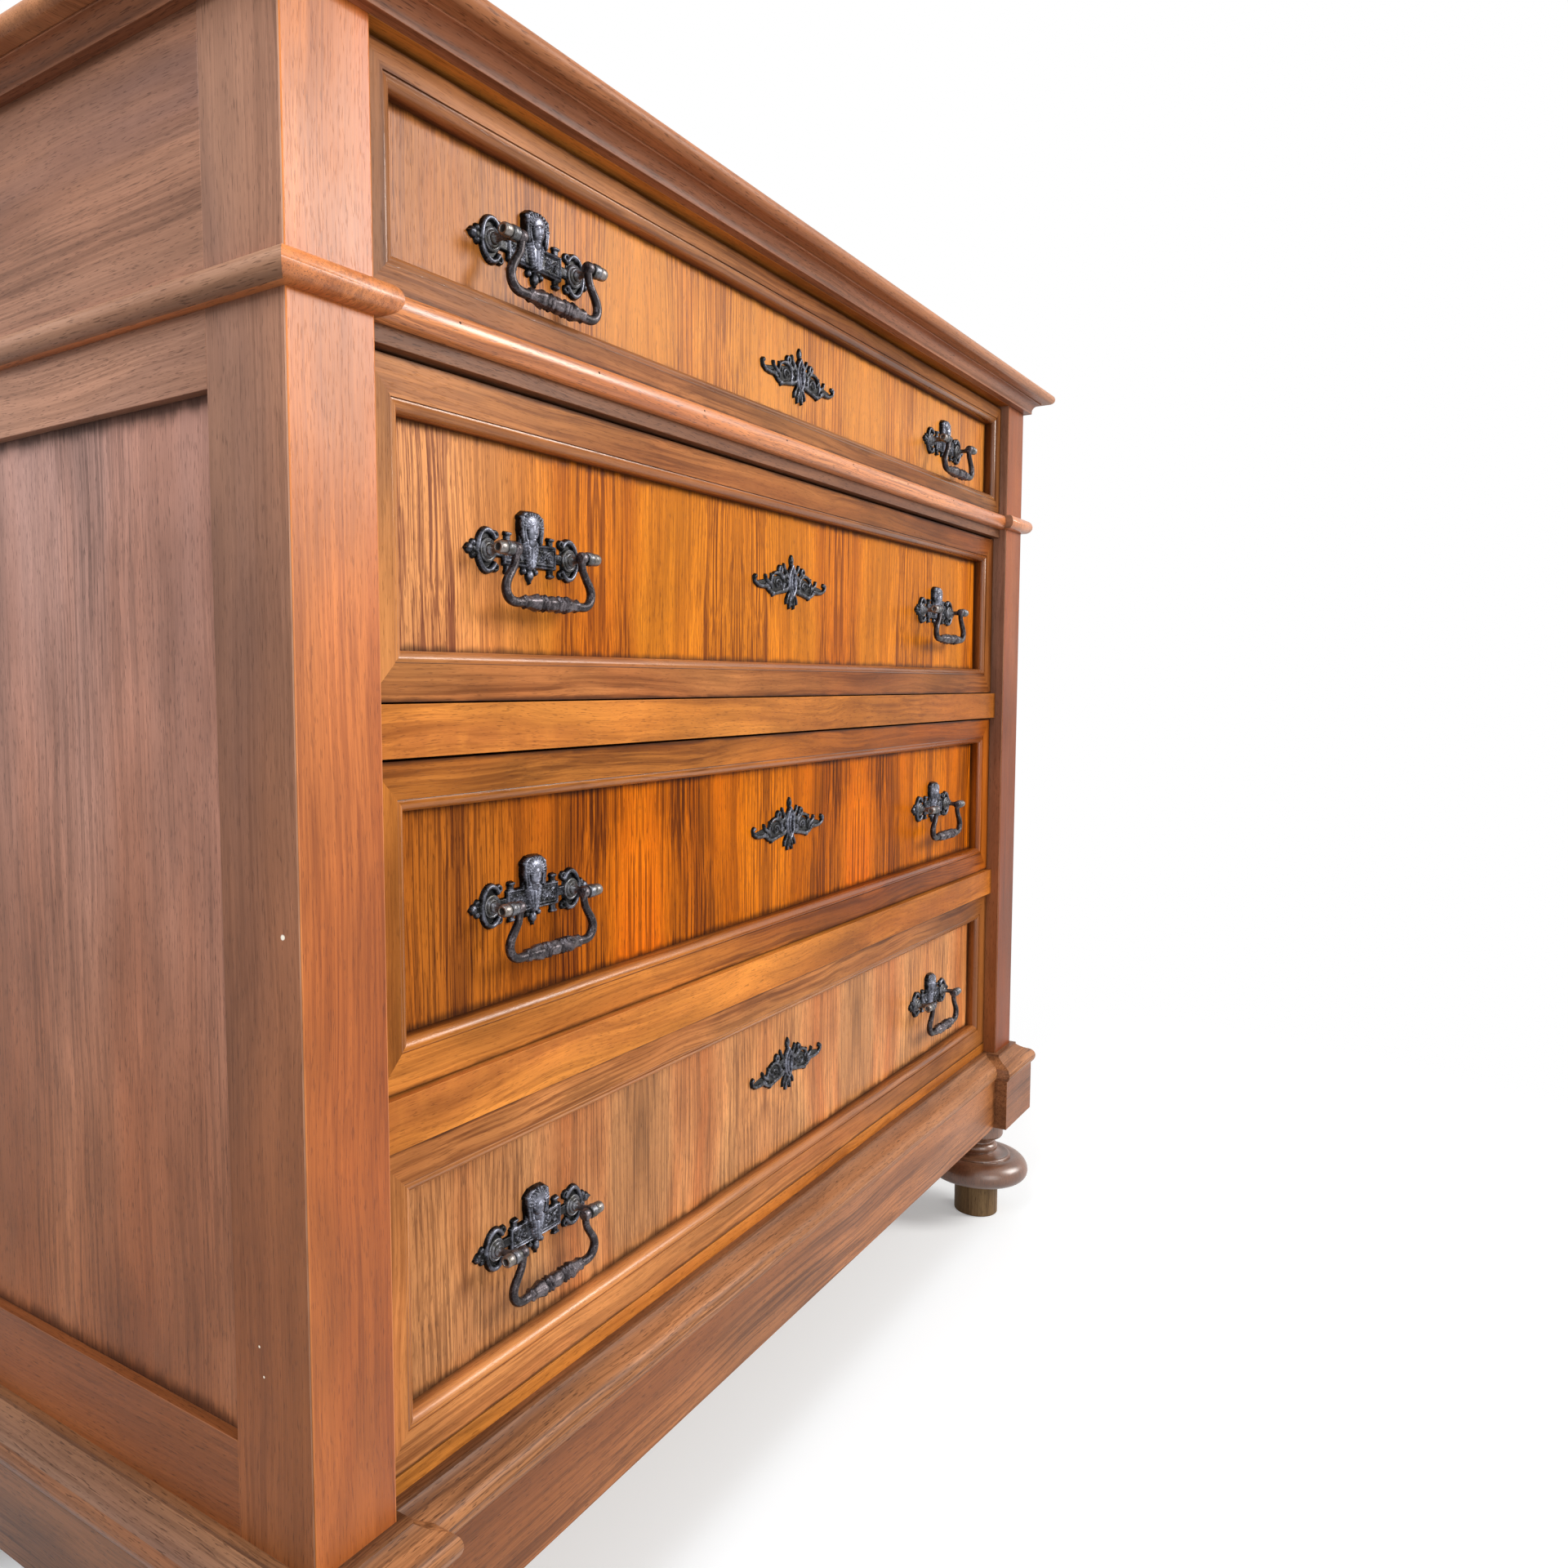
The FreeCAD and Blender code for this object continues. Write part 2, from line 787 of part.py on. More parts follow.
def strap():
    """Central strap with raised edges and scroll ears above and below."""
    half = strap_length / 2
    edge = strap_width / 2
    inner_edge = edge - strap_edge_width
    arm = strap_arm_width / 2
    relief = plate_thickness + strap_height
    parts = [
        raised_box(-half, half, -edge, edge, plate_thickness),
        raised_box(-post_spacing / 2, post_spacing / 2, -arm, arm, plate_thickness),
        raised_box(-half, half, inner_edge, edge, relief),
        raised_box(-half, half, -edge, -inner_edge, relief),
    ]
    for x in (ear_inset - half, half - ear_inset):
        for z in (-edge - ear_rise, edge + ear_rise):
            parts.append(disc_out(x, 0, z, ear_radius, plate_thickness + ear_relief))
    return parts


def crest():
    """Plain egg-shaped head under an arched hood, over a drape that narrows across the strap."""
    side = hood_width / 2
    foot = drape_foot_width / 2
    edge = strap_width / 2
    hood = front_prism([
        (-side, 0),
        (side, 0),
        (side, hood_shoulder),
        ((0, hood_height), (-side, hood_shoulder)),
    ], -hood_relief, 0)
    drape = front_prism([(-side, 0), (side, 0), (foot, -edge), (-foot, -edge)], -drape_relief, 0)
    middle = (head_bottom + head_top) / 2
    section = face(lambda radius, z: Vector(radius, -head_set, z), (0, head_bottom), [
        ((head_width / 2, middle), (0, head_top)),
    ])
    head = section.revolve(Vector(0, -head_set, 0), Vector(0, 0, 1), 360)
    front = raised_box(-side, side, 0, hood_height, head_set + head_width / 2)
    return [hood, drape, head.common(front)]


def pendants():
    """Bar below the strap with a ball at each end and a pointed drop in the middle."""
    edge = strap_width / 2
    ball = pendant_bar_width / 2 - pendant_ball_radius / 2
    bar = raised_box(-pendant_bar_width / 2, pendant_bar_width / 2, -edge - pendant_ball_radius, 0, plate_thickness)
    middle = -(pendant_drop_top + pendant_drop_tip) / 2
    drop = front_prism([
        (0, -pendant_drop_top),
        ((pendant_drop_width / 2, middle), (0, -pendant_drop_tip)),
        ((-pendant_drop_width / 2, middle), (0, -pendant_drop_top)),
    ], -plate_thickness - ear_relief, 0)
    balls = [disc_out(x, 0, -edge - pendant_ball_radius, pendant_ball_radius, plate_thickness + ear_relief)
             for x in (-ball, ball)]
    return [bar, drop] + balls


def pull_plate(index, x, z):
    """Backplate of one pull with its posts, bored for the bail's pivots."""
    parts = strap() + crest() + pendants()
    for side in (-1, 1):
        parts += rosette(side) + finial(side)
    plate = joined(parts)
    bore_length = post_spacing + 2 * pull_head_length
    bore = Part.makeCylinder(pivot_radius + pivot_clearance, bore_length,
                             Vector(-bore_length / 2, -pivot_stand, 0), Vector(1, 0, 0))
    plate = plate.cut(bore)
    plate.translate(Vector(x, field_depth(index), z))
    return plate


def tangent_path(points, radius):
    """Wire through the points with an arc of one radius at every inner point."""
    edges = []
    here = points[0]
    for number in range(1, len(points) - 1):
        corner = points[number]
        back = (points[number - 1] - corner).normalize()
        ahead = (points[number + 1] - corner).normalize()
        half_turn = back.getAngle(ahead) / 2
        reach = radius / math.tan(half_turn)
        bisector = (back + ahead).normalize()
        arc_start = corner + back * reach
        arc_end = corner + ahead * reach
        arc_middle = corner + bisector * (radius / math.sin(half_turn) - radius)
        edges.append(Part.LineSegment(here, arc_start).toShape())
        edges.append(Part.Arc(arc_start, arc_middle, arc_end).toShape())
        here = arc_end
    edges.append(Part.LineSegment(here, points[-1]).toShape())
    return Part.Wire(edges)


def grip_bulges(side):
    """Leaf and beads of one half of the grip, outermost first, as steps towards its middle."""
    steps = []
    for place, radius, reach in (grip_leaf,) + grip_beads[:-1]:
        outer = side * (place + reach)
        inner = side * (place - reach)
        steps += [(outer, grip_waist_radius), ((side * place, radius), (inner, grip_waist_radius))]
    return steps


def reversed_steps(steps):
    """The same lines and arcs walked from the other end."""
    ends = [step[1] if isinstance(step[0], tuple) else step for step in steps]
    back = [ends[-1]]
    for number in range(len(steps) - 1, 0, -1):
        arc = isinstance(steps[number][0], tuple)
        back.append((steps[number][0], ends[number - 1]) if arc else ends[number - 1])
    return back


def bail_grip():
    """Baluster grip: slim ends, a flared leaf and two beads on each side of a middle drum."""
    half = bail_grip_length / 2
    place, radius, reach = grip_beads[-1]
    steps = [(-half, bail_wire_radius)] + grip_bulges(-1)
    steps += [(place - reach, grip_waist_radius), ((place, radius), (place + reach, grip_waist_radius))]
    steps += reversed_steps(grip_bulges(1)) + [(half, bail_wire_radius), (half, 0)]
    section = face(lambda x, r: Vector(x, 0, r - bail_drop), (-half, 0), steps)
    return section.revolve(Vector(0, 0, -bail_drop), Vector(1, 0, 0), 360)


def bail(index, x, z):
    """Swan-neck bail hanging from its pivots, with ball ends outside the posts."""
    head_inner = (post_spacing - pull_head_length) / 2
    head_outer = (post_spacing + pull_head_length) / 2
    knuckle = head_inner - bail_side_gap - bail_knuckle_radius
    ball = head_outer + bail_side_gap / 2 + bail_ball_radius
    spread = bail_spread / 2
    path = tangent_path([
        Vector(-knuckle, 0, 0),
        Vector(-knuckle, 0, -bail_neck_drop),
        Vector(-spread, 0, -bail_drop),
        Vector(spread, 0, -bail_drop),
        Vector(knuckle, 0, -bail_neck_drop),
        Vector(knuckle, 0, 0),
    ], bail_bend_radius)
    ring = Part.Wire(Part.makeCircle(bail_wire_radius, Vector(-knuckle, 0, 0), Vector(0, 0, -1)))
    wire = Part.Wire(path).makePipeShell([ring], True, False)
    parts = [wire, bail_grip()]
    for side in (-1, 1):
        parts.append(Part.makeSphere(bail_knuckle_radius, Vector(side * knuckle, 0, 0)))
        parts.append(Part.makeSphere(bail_ball_radius, Vector(side * ball, 0, 0)))
        start = min(side * knuckle, side * ball)
        parts.append(Part.makeCylinder(pivot_radius, ball - knuckle, Vector(start, 0, 0), Vector(1, 0, 0)))
    shape = joined(parts)
    shape.translate(Vector(x, field_depth(index) - pivot_stand, z))
    return shape


# ---- keyhole plates and locks ----
def keyhole_centre(index):
    """Height of a drawer's keyhole."""
    z0, z1 = drawer_levels(index)
    return (z0 + z1) / 2 + keyhole_rises[index]


def keyhole(index, y0, y1):
    """Upright slot with round ends."""
    z = keyhole_centre(index)
    radius = keyhole_width / 2
    straight = keyhole_height / 2 - radius
    return front_prism([
        (-radius, z - straight),
        ((0, z - straight - radius), (radius, z - straight)),
        (radius, z + straight),
        ((0, z + straight + radius), (-radius, z + straight)),
        (-radius, z - straight),
    ], y0, y1)


def keyplate_outline():
    """Right half of the scrolled outline as shares of its reach and rise, from the finial down."""
    reach = keyplate_length / 2
    rise = keyplate_height / 2
    loop = [((0.05, 0.78), (0.025, 0.60))]
    shoulder = [((0.075, 0.44), (0.12, 0.26)), ((0.19, 0.24), (0.255, 0.33))]
    ear = [((0.305, 0.54), (0.355, 0.34))]
    hoop = [((0.46, 0.31), (0.525, 0.165)), (0.55, 0.23), ((0.57, 0.09), (0.58, -0.07))]
    spur = [((0.71, -0.04), (0.775, 0.17)), ((0.80, -0.045), (0.83, -0.25))]
    hook = [((0.895, -0.22), (0.915, -0.06)), ((0.96, 0.04), (1.0, -0.11)), ((0.965, -0.36), (0.87, -0.405))]
    underside = [((0.76, -0.41), (0.665, -0.38)), ((0.605, -0.52), (0.535, -0.59)),
                 ((0.485, -0.63), (0.435, -0.56)), ((0.32, -0.51), (0.20, -0.49))]
    leaves = [((0.173, -0.68), (0.15, -0.85)), ((0.115, -0.77), (0.10, -0.70)),
              ((0.085, -0.88), (0.055, -1.0)), ((0.025, -0.92), (0, -0.94))]
    steps = [(0, 1.0)] + loop + shoulder + ear + hoop + spur + hook + underside + leaves
    return scaled_steps(steps, reach, rise)


def keyplate_openings():
    """Crescent inside the right hoop and the pin hole in the right ear, standing on the field."""
    reach = keyplate_length / 2
    rise = keyplate_height / 2
    crescent = scaled_steps([(0.25, -0.15), ((0.38, 0.19), (0.50, -0.10)), (0.48, -0.16),
                             ((0.38, 0.07), (0.29, -0.16)), (0.25, -0.15)], reach, rise)
    pin_hole = disc_out(0.305 * reach, 0, 0.37 * rise, keyplate_pin_radius, keyplate_thickness)
    return [front_prism(crescent, -keyplate_thickness, 0), pin_hole]


def scaled_steps(steps, across, up):
    """Outline steps given as shares, brought to size."""
    scaled = []
    for step in steps:
        if isinstance(step[0], tuple):
            through, there = step
            scaled.append(((through[0] * across, through[1] * up), (there[0] * across, there[1] * up)))
        else:
            scaled.append((step[0] * across, step[1] * up))
    return scaled


def mirrored_outline(half):
    """Closed outline from its right half, given from the top down."""
    points = []
    for step in half:
        points.append(step[1] if isinstance(step[0], tuple) else step)
    back = []
    for number in range(len(half) - 1, 0, -1):
        x, z = points[number - 1]
        if isinstance(half[number][0], tuple):
            through_x, through_z = half[number][0]
            back.append(((-through_x, through_z), (-x, z)))
        else:
            back.append((-x, z))
    return half + back


def pointed_oval(width, height, relief):
    """Raised oval round the keyhole, pointed above and below."""
    return front_prism([
        (0, -height / 2),
        ((width / 2, 0), (0, height / 2)),
        ((-width / 2, 0), (0, -height / 2)),
    ], -keyplate_thickness - relief, 0)


def keyplate(index):
    """Pierced, scrolled keyhole plate with a framed oval and a rim round the keyhole."""
    y = field_depth(index)
    z = keyhole_centre(index)
    plate = front_prism(mirrored_outline(keyplate_outline()), -keyplate_thickness, 0)
    for opening in keyplate_openings():
        plate = plate.cut(opening).cut(mirrored(opening))
    frame = pointed_oval(keyhole_frame_width, keyhole_frame_height, keyhole_frame_relief)
    rim = pointed_oval(keyhole_width + 2 * keyhole_rim, keyhole_height + 2 * keyhole_rim, keyhole_rim_relief)
    shape = joined([plate, frame, rim])
    shape.translate(Vector(0, y, z))
    return shape.cut(keyhole(index, y - keyplate_thickness - keyhole_rim_relief, y))


def lock(index):
    """Lock case behind the front, with its bolt drawn down flush below the top edge."""
    y0 = field_depth(index) + front_core_thickness
    z = keyhole_centre(index)
    top = drawer_levels(index)[1]
    case = box(-lock_width / 2, lock_width / 2, y0, y0 + lock_thickness,
               z - lock_height / 2, z + lock_height / 2)
    bolt = box(-lock_bolt_width / 2, lock_bolt_width / 2, y0, y0 + lock_bolt_thickness,
               z, top - lock_bolt_gap)
    return joined([case, bolt]).cut(keyhole(index, y0, y0 + lock_thickness / 2))


# ---- writing the pieces ----
def save(name, shapes):
    """Write one node, moved so that the origin is at the middle of the footprint."""
    if not isinstance(shapes, list):
        shapes = [shapes]
    solids = []
    for shape in shapes:
        solids += shape.Solids
    node = solids[0] if len(solids) == 1 else Part.makeCompound(solids)
    node = node.copy()
    node.translate(Vector(0, (front_reach - back_reach) / 2, 0))
    node.exportStep("parts/" + name + ".step")


def write_case():
    """Every piece of the case."""
    save("top_board", top_board())
    cornice_front, cornice_sides = cornice()
    save("cornice_front", cornice_front)
    save("cornice_sides", cornice_sides)
    save("front_left_post", front_post())
    save("front_right_post", mirrored(front_post()))
    save("back_left_post", back_post())
    save("back_right_post", mirrored(back_post()))
    save("left_side_rails", side_rails())
    save("right_side_rails", [mirrored(rail) for rail in side_rails()])
    save("left_side_panel", side_panel())
    save("right_side_panel", mirrored(side_panel()))
    save("top_rail", front_rail(0, top_rail_bottom, case_top))
    save("waist_rail", front_rail(waist_rail_setback, waist_top - waist_rail_height, waist_top))
    save("drawer_rails", [front_rail(drawer_rail_setback, floors[index] - drawer_rail_height, floors[index])
                          for index in (1, 2)])
    save("bottom_rail", front_rail(bottom_rail_setback, foot_height, bottom_opening))
    bead_front, bead_ends = waist_beads()
    save("waist_bead_front", bead_front)
    save("waist_bead_ends", bead_ends)
    plinth_front, plinth_sides, plinth_blocks = plinth_boards()
    save("plinth_boards", [plinth_front] + plinth_sides)
    save("plinth_blocks", plinth_blocks)
    save("plinth_cap", plinth_cap())
    save("drawer_runners", runners())
    save("bottom_board", bottom_board())
    save("back_panel", back_frame() + back_boards())
    save("feet", [foot(x, y) for x, y in foot_places()])


def write_drawer(index):
    """Every piece of one drawer."""
    name = "drawer_" + str(index + 1)
    save(name + "_front", drawer_front(index))
    save(name + "_front_frame", front_frame(index) + field_moulding(index))
    save(name + "_sides", both_sides(drawer_side(index)))
    save(name + "_back", drawer_back(index))
    save(name + "_bottom", drawer_bottom(index))
    save(name + "_lock_set", [keyplate(index), lock(index)])
    left, right = pull_centres(index)
    save(name + "_pull_plates", [pull_plate(index, *left), pull_plate(index, *right)])
    save(name + "_left_bail", bail(index, *left))
    save(name + "_right_bail", bail(index, *right))


os.makedirs("parts", exist_ok=True)
write_case()
for drawer in range(len(opening_heights)):
    write_drawer(drawer)
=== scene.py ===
import json
import math
import random

import bmesh
import bpy
from mathutils import Euler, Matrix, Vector


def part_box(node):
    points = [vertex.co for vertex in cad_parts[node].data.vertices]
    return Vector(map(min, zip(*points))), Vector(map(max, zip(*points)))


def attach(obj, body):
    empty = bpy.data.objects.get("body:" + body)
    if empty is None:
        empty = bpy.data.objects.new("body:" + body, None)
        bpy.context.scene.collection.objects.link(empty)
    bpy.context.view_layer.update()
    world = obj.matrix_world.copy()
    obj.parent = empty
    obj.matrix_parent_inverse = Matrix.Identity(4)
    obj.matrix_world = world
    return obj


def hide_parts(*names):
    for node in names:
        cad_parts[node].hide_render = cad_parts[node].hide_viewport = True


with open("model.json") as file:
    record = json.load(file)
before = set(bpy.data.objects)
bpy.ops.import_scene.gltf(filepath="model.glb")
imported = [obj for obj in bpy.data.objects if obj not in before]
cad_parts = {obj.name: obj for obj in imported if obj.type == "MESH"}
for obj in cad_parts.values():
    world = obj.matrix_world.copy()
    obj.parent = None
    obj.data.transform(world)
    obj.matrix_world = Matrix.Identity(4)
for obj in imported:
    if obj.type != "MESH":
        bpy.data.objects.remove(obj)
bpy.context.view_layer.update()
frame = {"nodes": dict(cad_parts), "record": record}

# Studio. A white floor and a white surround that light the chest softly from every side, with a
# window-like lamp high at the right front, a weak one at the left front and a cooler one on the left.
floor_reach = 30.0
floor_white = (0.80, 0.82, 0.84, 1.0)
floor_bounce = (0.34, 0.33, 0.32, 1.0)
floor_lift = 0.24
floor_fade = (0.75, 1.7)
surround_white = (1.0, 1.0, 1.0, 1.0)
surround_light = 0.45
lamps = {
    "window_right": ((1.9, -2.9, 2.05), 1.4, 112.0, (1.0, 0.97, 0.93)),
    "window_front": ((-1.3, -2.5, 0.95), 1.5, 26.0, (1.0, 0.98, 0.95)),
    "window_left": ((-1.7, -0.2, 2.0), 1.1, 36.0, (0.90, 0.95, 1.0)),
}
lamp_target = Vector((0, 0, 0.5))
camera_place = (-0.9349, -0.6898, 0.6496)
camera_turn = (85.524, 0.301, -54.052)
camera_sensor = 36.0
camera_lens = 27.70
camera_shift = 0.125
camera_nearest = 0.01
mix_sockets = {"RGBA": (6, 7, 2), "VECTOR": (4, 5, 1)}


def new_material(name):
    """An empty material, with its tree of nodes."""
    material = bpy.data.materials.new(name)
    material.use_nodes = True
    material.node_tree.nodes.clear()
    return material, material.node_tree


def feed(tree, socket, value):
    """Join a socket to another one, or give it a fixed value."""
    if isinstance(value, bpy.types.NodeSocket):
        tree.links.new(value, socket)
    else:
        socket.default_value = value


def add(tree, kind, *values, inputs=None, **settings):
    """A new node with its settings; values go to its inputs in their order, or by their names."""
    made = tree.nodes.new(kind if "Node" in kind else "ShaderNode" + kind)
    for setting, value in settings.items():
        setattr(made, setting, value)
    for socket, value in zip(made.inputs, values):
        feed(tree, socket, value)
    for label, value in (inputs or {}).items():
        feed(tree, made.inputs[label], value)
    return made


def maths(tree, operation, *values):
    """One sum over sockets and numbers."""
    return add(tree, "Math", *values, operation=operation).outputs[0]


def spread(tree, value, low, high, to_low=0.0, to_high=1.0, smooth=False):
    """A value stretched so that low turns to to_low and high to to_high."""
    way = "SMOOTHSTEP" if smooth else "LINEAR"
    return add(tree, "MapRange", value, low, high, to_low, to_high, interpolation_type=way).outputs["Result"]


def blended(tree, amount, first, second, kind="RGBA"):
    """Two colours or two vectors mixed; each is a socket or a fixed value.

    mix_sockets says where the node takes the first and the second of each kind and gives the result.
    """
    one, other, mixed = mix_sockets[kind]
    mix = add(tree, "Mix", amount, data_type=kind)
    feed(tree, mix.inputs[one], first)
    feed(tree, mix.inputs[other], second)
    return mix.outputs[mixed]


def white_for_sight(tree):
    """One for camera, glossy and transmission rays, nought for the light that falls on things."""
    path = add(tree, "LightPath").outputs
    seen = maths(tree, "MAXIMUM", path["Is Camera Ray"], path["Is Glossy Ray"])
    return maths(tree, "MAXIMUM", seen, path["Is Transmission Ray"])


floor_mesh = bpy.data.meshes.new("floor")
floor_corners = [(x * floor_reach, y * floor_reach, 0) for x, y in ((-1, -1), (1, -1), (1, 1), (-1, 1))]
floor_mesh.from_pydata(floor_corners, [], [(0, 1, 2, 3)])
floor = bpy.data.objects.new("floor", floor_mesh)
bpy.context.scene.collection.objects.link(floor)
floor_paint, tree = new_material("floor_paint")
sight = white_for_sight(tree)
matt = add(tree, "BsdfDiffuse", blended(tree, sight, floor_bounce, floor_white))
glow = add(tree, "Emission", inputs={"Strength": maths(tree, "MULTIPLY", sight, floor_lift)})
near = add(tree, "AddShader", matt.outputs[0], glow.outputs[0])
away = add(tree, "VectorMath", add(tree, "TexCoord").outputs["Object"], operation="LENGTH").outputs["Value"]
fade = maths(tree, "MULTIPLY", spread(tree, away, *floor_fade, smooth=True), sight)
blend = add(tree, "MixShader", fade, near.outputs[0], add(tree, "Emission").outputs[0])
add(tree, "OutputMaterial", blend.outputs[0])
floor_mesh.materials.append(floor_paint)

world = bpy.data.worlds.new("studio")
world.use_nodes = True
tree = world.node_tree
tree.nodes.clear()
strength = spread(tree, white_for_sight(tree), 0.0, 1.0, surround_light, 1.0)
add(tree, "OutputWorld", add(tree, "Background", surround_white, strength).outputs[0])
bpy.context.scene.world = world

for name, (place, size, power, colour) in lamps.items():
    lamp = bpy.data.lights.new(name, "AREA")
    lamp.size = size
    lamp.energy = power
    lamp.color = colour
    stand = bpy.data.objects.new(name, lamp)
    stand.location = place
    stand.rotation_euler = (lamp_target - Vector(place)).to_track_quat("-Z", "Y").to_euler()
    bpy.context.scene.collection.objects.link(stand)

camera = bpy.data.objects.new("camera", bpy.data.cameras.new("camera"))
camera.location = camera_place
camera.rotation_euler = Euler([math.radians(turn) for turn in camera_turn], "XYZ")
camera.data.sensor_width = camera_sensor
camera.data.lens = camera_lens
camera.data.shift_x = camera_shift
camera.data.clip_start = camera_nearest
bpy.context.scene.collection.objects.link(camera)
bpy.context.scene.camera = camera
bpy.context.scene.view_settings.view_transform = "Standard"

# Corner posts. Four square walnut posts run from the plinth to the top and carry the whole case.
# They are planed from the solid, grain upright. Their upright arrises are painted lighter, as wear
# where hands and cloths pass and as painted highlight; the posts turn paler and bluer upwards as painted
# sheen, and their flanks take a greyer copy of the walnut as painted shade and sheen.
post_ease = 0.0011
post_tones = ((0.76, 0.44, 0.22), (0.66, 0.35, 0.15), (0.42, 0.18, 0.07), (0.66, 0.30, 0.12))
right_post_tones = ((0.54, 0.28, 0.13), (0.46, 0.21, 0.08), (0.30, 0.12, 0.05), (0.46, 0.17, 0.06))
side_tones = ((0.64, 0.45, 0.33), (0.54, 0.35, 0.24), (0.34, 0.21, 0.14), (0.42, 0.30, 0.25))
# Painted light: gains that make the posts and sides darker and more orange low down and paler and bluer high
# up, as painted sheen and fall of light.
post_painted_light = (2, 0.48, 0.74, (0.98, 0.96, 0.92), (1.38, 1.55, 1.70))
side_painted_light = (2, 0.25, 0.85, (0.88, 0.62, 0.38), (1.10, 1.20, 1.45))
post_chips = (((-0.56, -0.237, 0.532), 0.0030), ((-0.56, -0.211, 0.320), 0.0016),
              ((-0.56, -0.214, 0.305), 0.0010))
joint_ease = 0.00035
# Every eased arris is painted a little lighter, as wear and painted highlight.
joint_wear_and_highlight = 0.25
curve_limit = math.radians(32)
same_point = 2e-6
same_plane = math.radians(0.6)
seam_half = (0.0012, 0.0004)
prick_cells = 9.0
prick_reach = 0.022
bump_depth = 0.00012
flat_limit = math.radians(1)
sideways_limit = 0.7
arris_reach = 0.001
arris_ends = 0.01


def tint(red, green, blue):
    """A colour as the eye sees it, 0 to 1, as the shader's linear values."""
    linear = [c / 12.92 if c <= 0.04045 else ((c + 0.055) / 1.055) ** 2.4 for c in (red, green, blue)]
    return (*linear, 1.0)


# The soiling colour also serves as painted shade in creases, recesses and along gaps; pin pricks and board
# seams take it as real dirt.
grime_and_shade_colour = tint(0.17, 0.10, 0.08)
chip_colour = tint(0.93, 0.89, 0.82)


def islands(mesh):
    """The separate boards of a mesh, each as a list of its corner points."""
    seen = set()
    found = []
    for start in mesh.verts:
        if start.index in seen:
            continue
        seen.add(start.index)
        group = [start]
        for vert in group:
            for edge in vert.link_edges:
                other = edge.other_vert(vert)
                if other.index not in seen:
                    seen.add(other.index)
                    group.append(other)
        found.append(group)
    return found


def corners(points):
    """The lowest and highest corner of the box round some points of a mesh."""
    return tuple(Vector([end(vert.co[axis] for vert in points) for axis in range(3)]) for end in (min, max))


def placed(name, mesh, body, node):
    """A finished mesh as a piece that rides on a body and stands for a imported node."""
    piece = bpy.data.objects.new(name, mesh)
    bpy.context.scene.collection.objects.link(piece)
    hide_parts(node)
    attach(piece, body)
    return piece


def packed(node):
    """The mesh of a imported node, its doubles merged."""
    mesh = bmesh.new()
    mesh.from_mesh(frame["nodes"][node].data)
    bmesh.ops.remove_doubles(mesh, verts=mesh.verts, dist=same_point)
    return mesh


def flattened(mesh):
    """Join the faces that lie in one plane."""
    bmesh.ops.dissolve_limit(mesh, angle_limit=same_plane, verts=mesh.verts, edges=mesh.edges)


def arrises(mesh):
    """The sharp edges of a mesh."""
    return [edge for edge in mesh.edges
            if len(edge.link_faces) == 2 and edge.calc_face_angle(0) >= curve_limit]


def rounded(mesh, edges, ease, profile=0.55):
    """Round some edges; gives the new faces."""
    return bmesh.ops.bevel(mesh, geom=edges, offset=ease, segments=2, profile=profile, affect="EDGES",
                           clamp_overlap=True)["faces"]


def finished(mesh, name, *materials):
    """A mesh that is done, with its materials."""
    result = bpy.data.meshes.new(name)
    mesh.to_mesh(result)
    mesh.free()
    for material in materials:
        result.materials.append(material)
    return result


def eased(mesh, wear_and_painted_light):
    """Round sharp arrises, tested ones first and more; mark faces for wear, painted highlight and shading."""
    curved = mesh.faces.layers.int.new("curved")
    wear_and_highlight_layer = mesh.faces.layers.float.new("wear_and_painted_light")
    for edge in mesh.edges:
        if len(edge.link_faces) == 2 and flat_limit < edge.calc_face_angle(0) < curve_limit:
            for side in edge.link_faces:
                side[curved] = 1
    for test, ease in ([wear_and_painted_light] if wear_and_painted_light else []) + [(None, joint_ease)]:
        sharp = [edge for edge in arrises(mesh) if not any(side[wear_and_highlight_layer] > 0 for side in edge.link_faces)
                 and (test is None or test((edge.verts[0].co + edge.verts[1].co) / 2))]
        for side in rounded(mesh, sharp, ease) if sharp else ():
            side[wear_and_highlight_layer] = 1.0 if test else joint_wear_and_highlight
            side[curved] = 1
    mesh.verts.index_update()
    for side in mesh.faces:
        side.smooth = bool(side[curved])


def grained(mesh, grain, dirt_and_shade, seed):
    """Give each board its own stretch of grain, its own tone, and the soiling and painted shade at each
    place.
    """
    direction = mesh.verts.layers.float_vector.new("grain")
    tone = mesh.verts.layers.float.new("tone")
    grime_and_shade = mesh.verts.layers.float.new("grime_and_shade")
    chance = random.Random(seed)
    for group in islands(mesh):
        low, high = corners(group)
        size = high - low
        along = grain if grain is not None else max(range(3), key=lambda axis: size[axis])
        across = [axis for axis in range(3) if axis != along]
        start = [chance.uniform(-5, 5) for axis in range(3)]
        shade = chance.uniform(-1, 1)
        for vert in group:
            vert[direction] = (vert.co[across[0]] + start[0], vert.co[across[1]] + start[1],
                               vert.co[along] + start[2])
            vert[tone] = shade
            vert[grime_and_shade] = dirt_and_shade(vert.co) if dirt_and_shade else 0.0


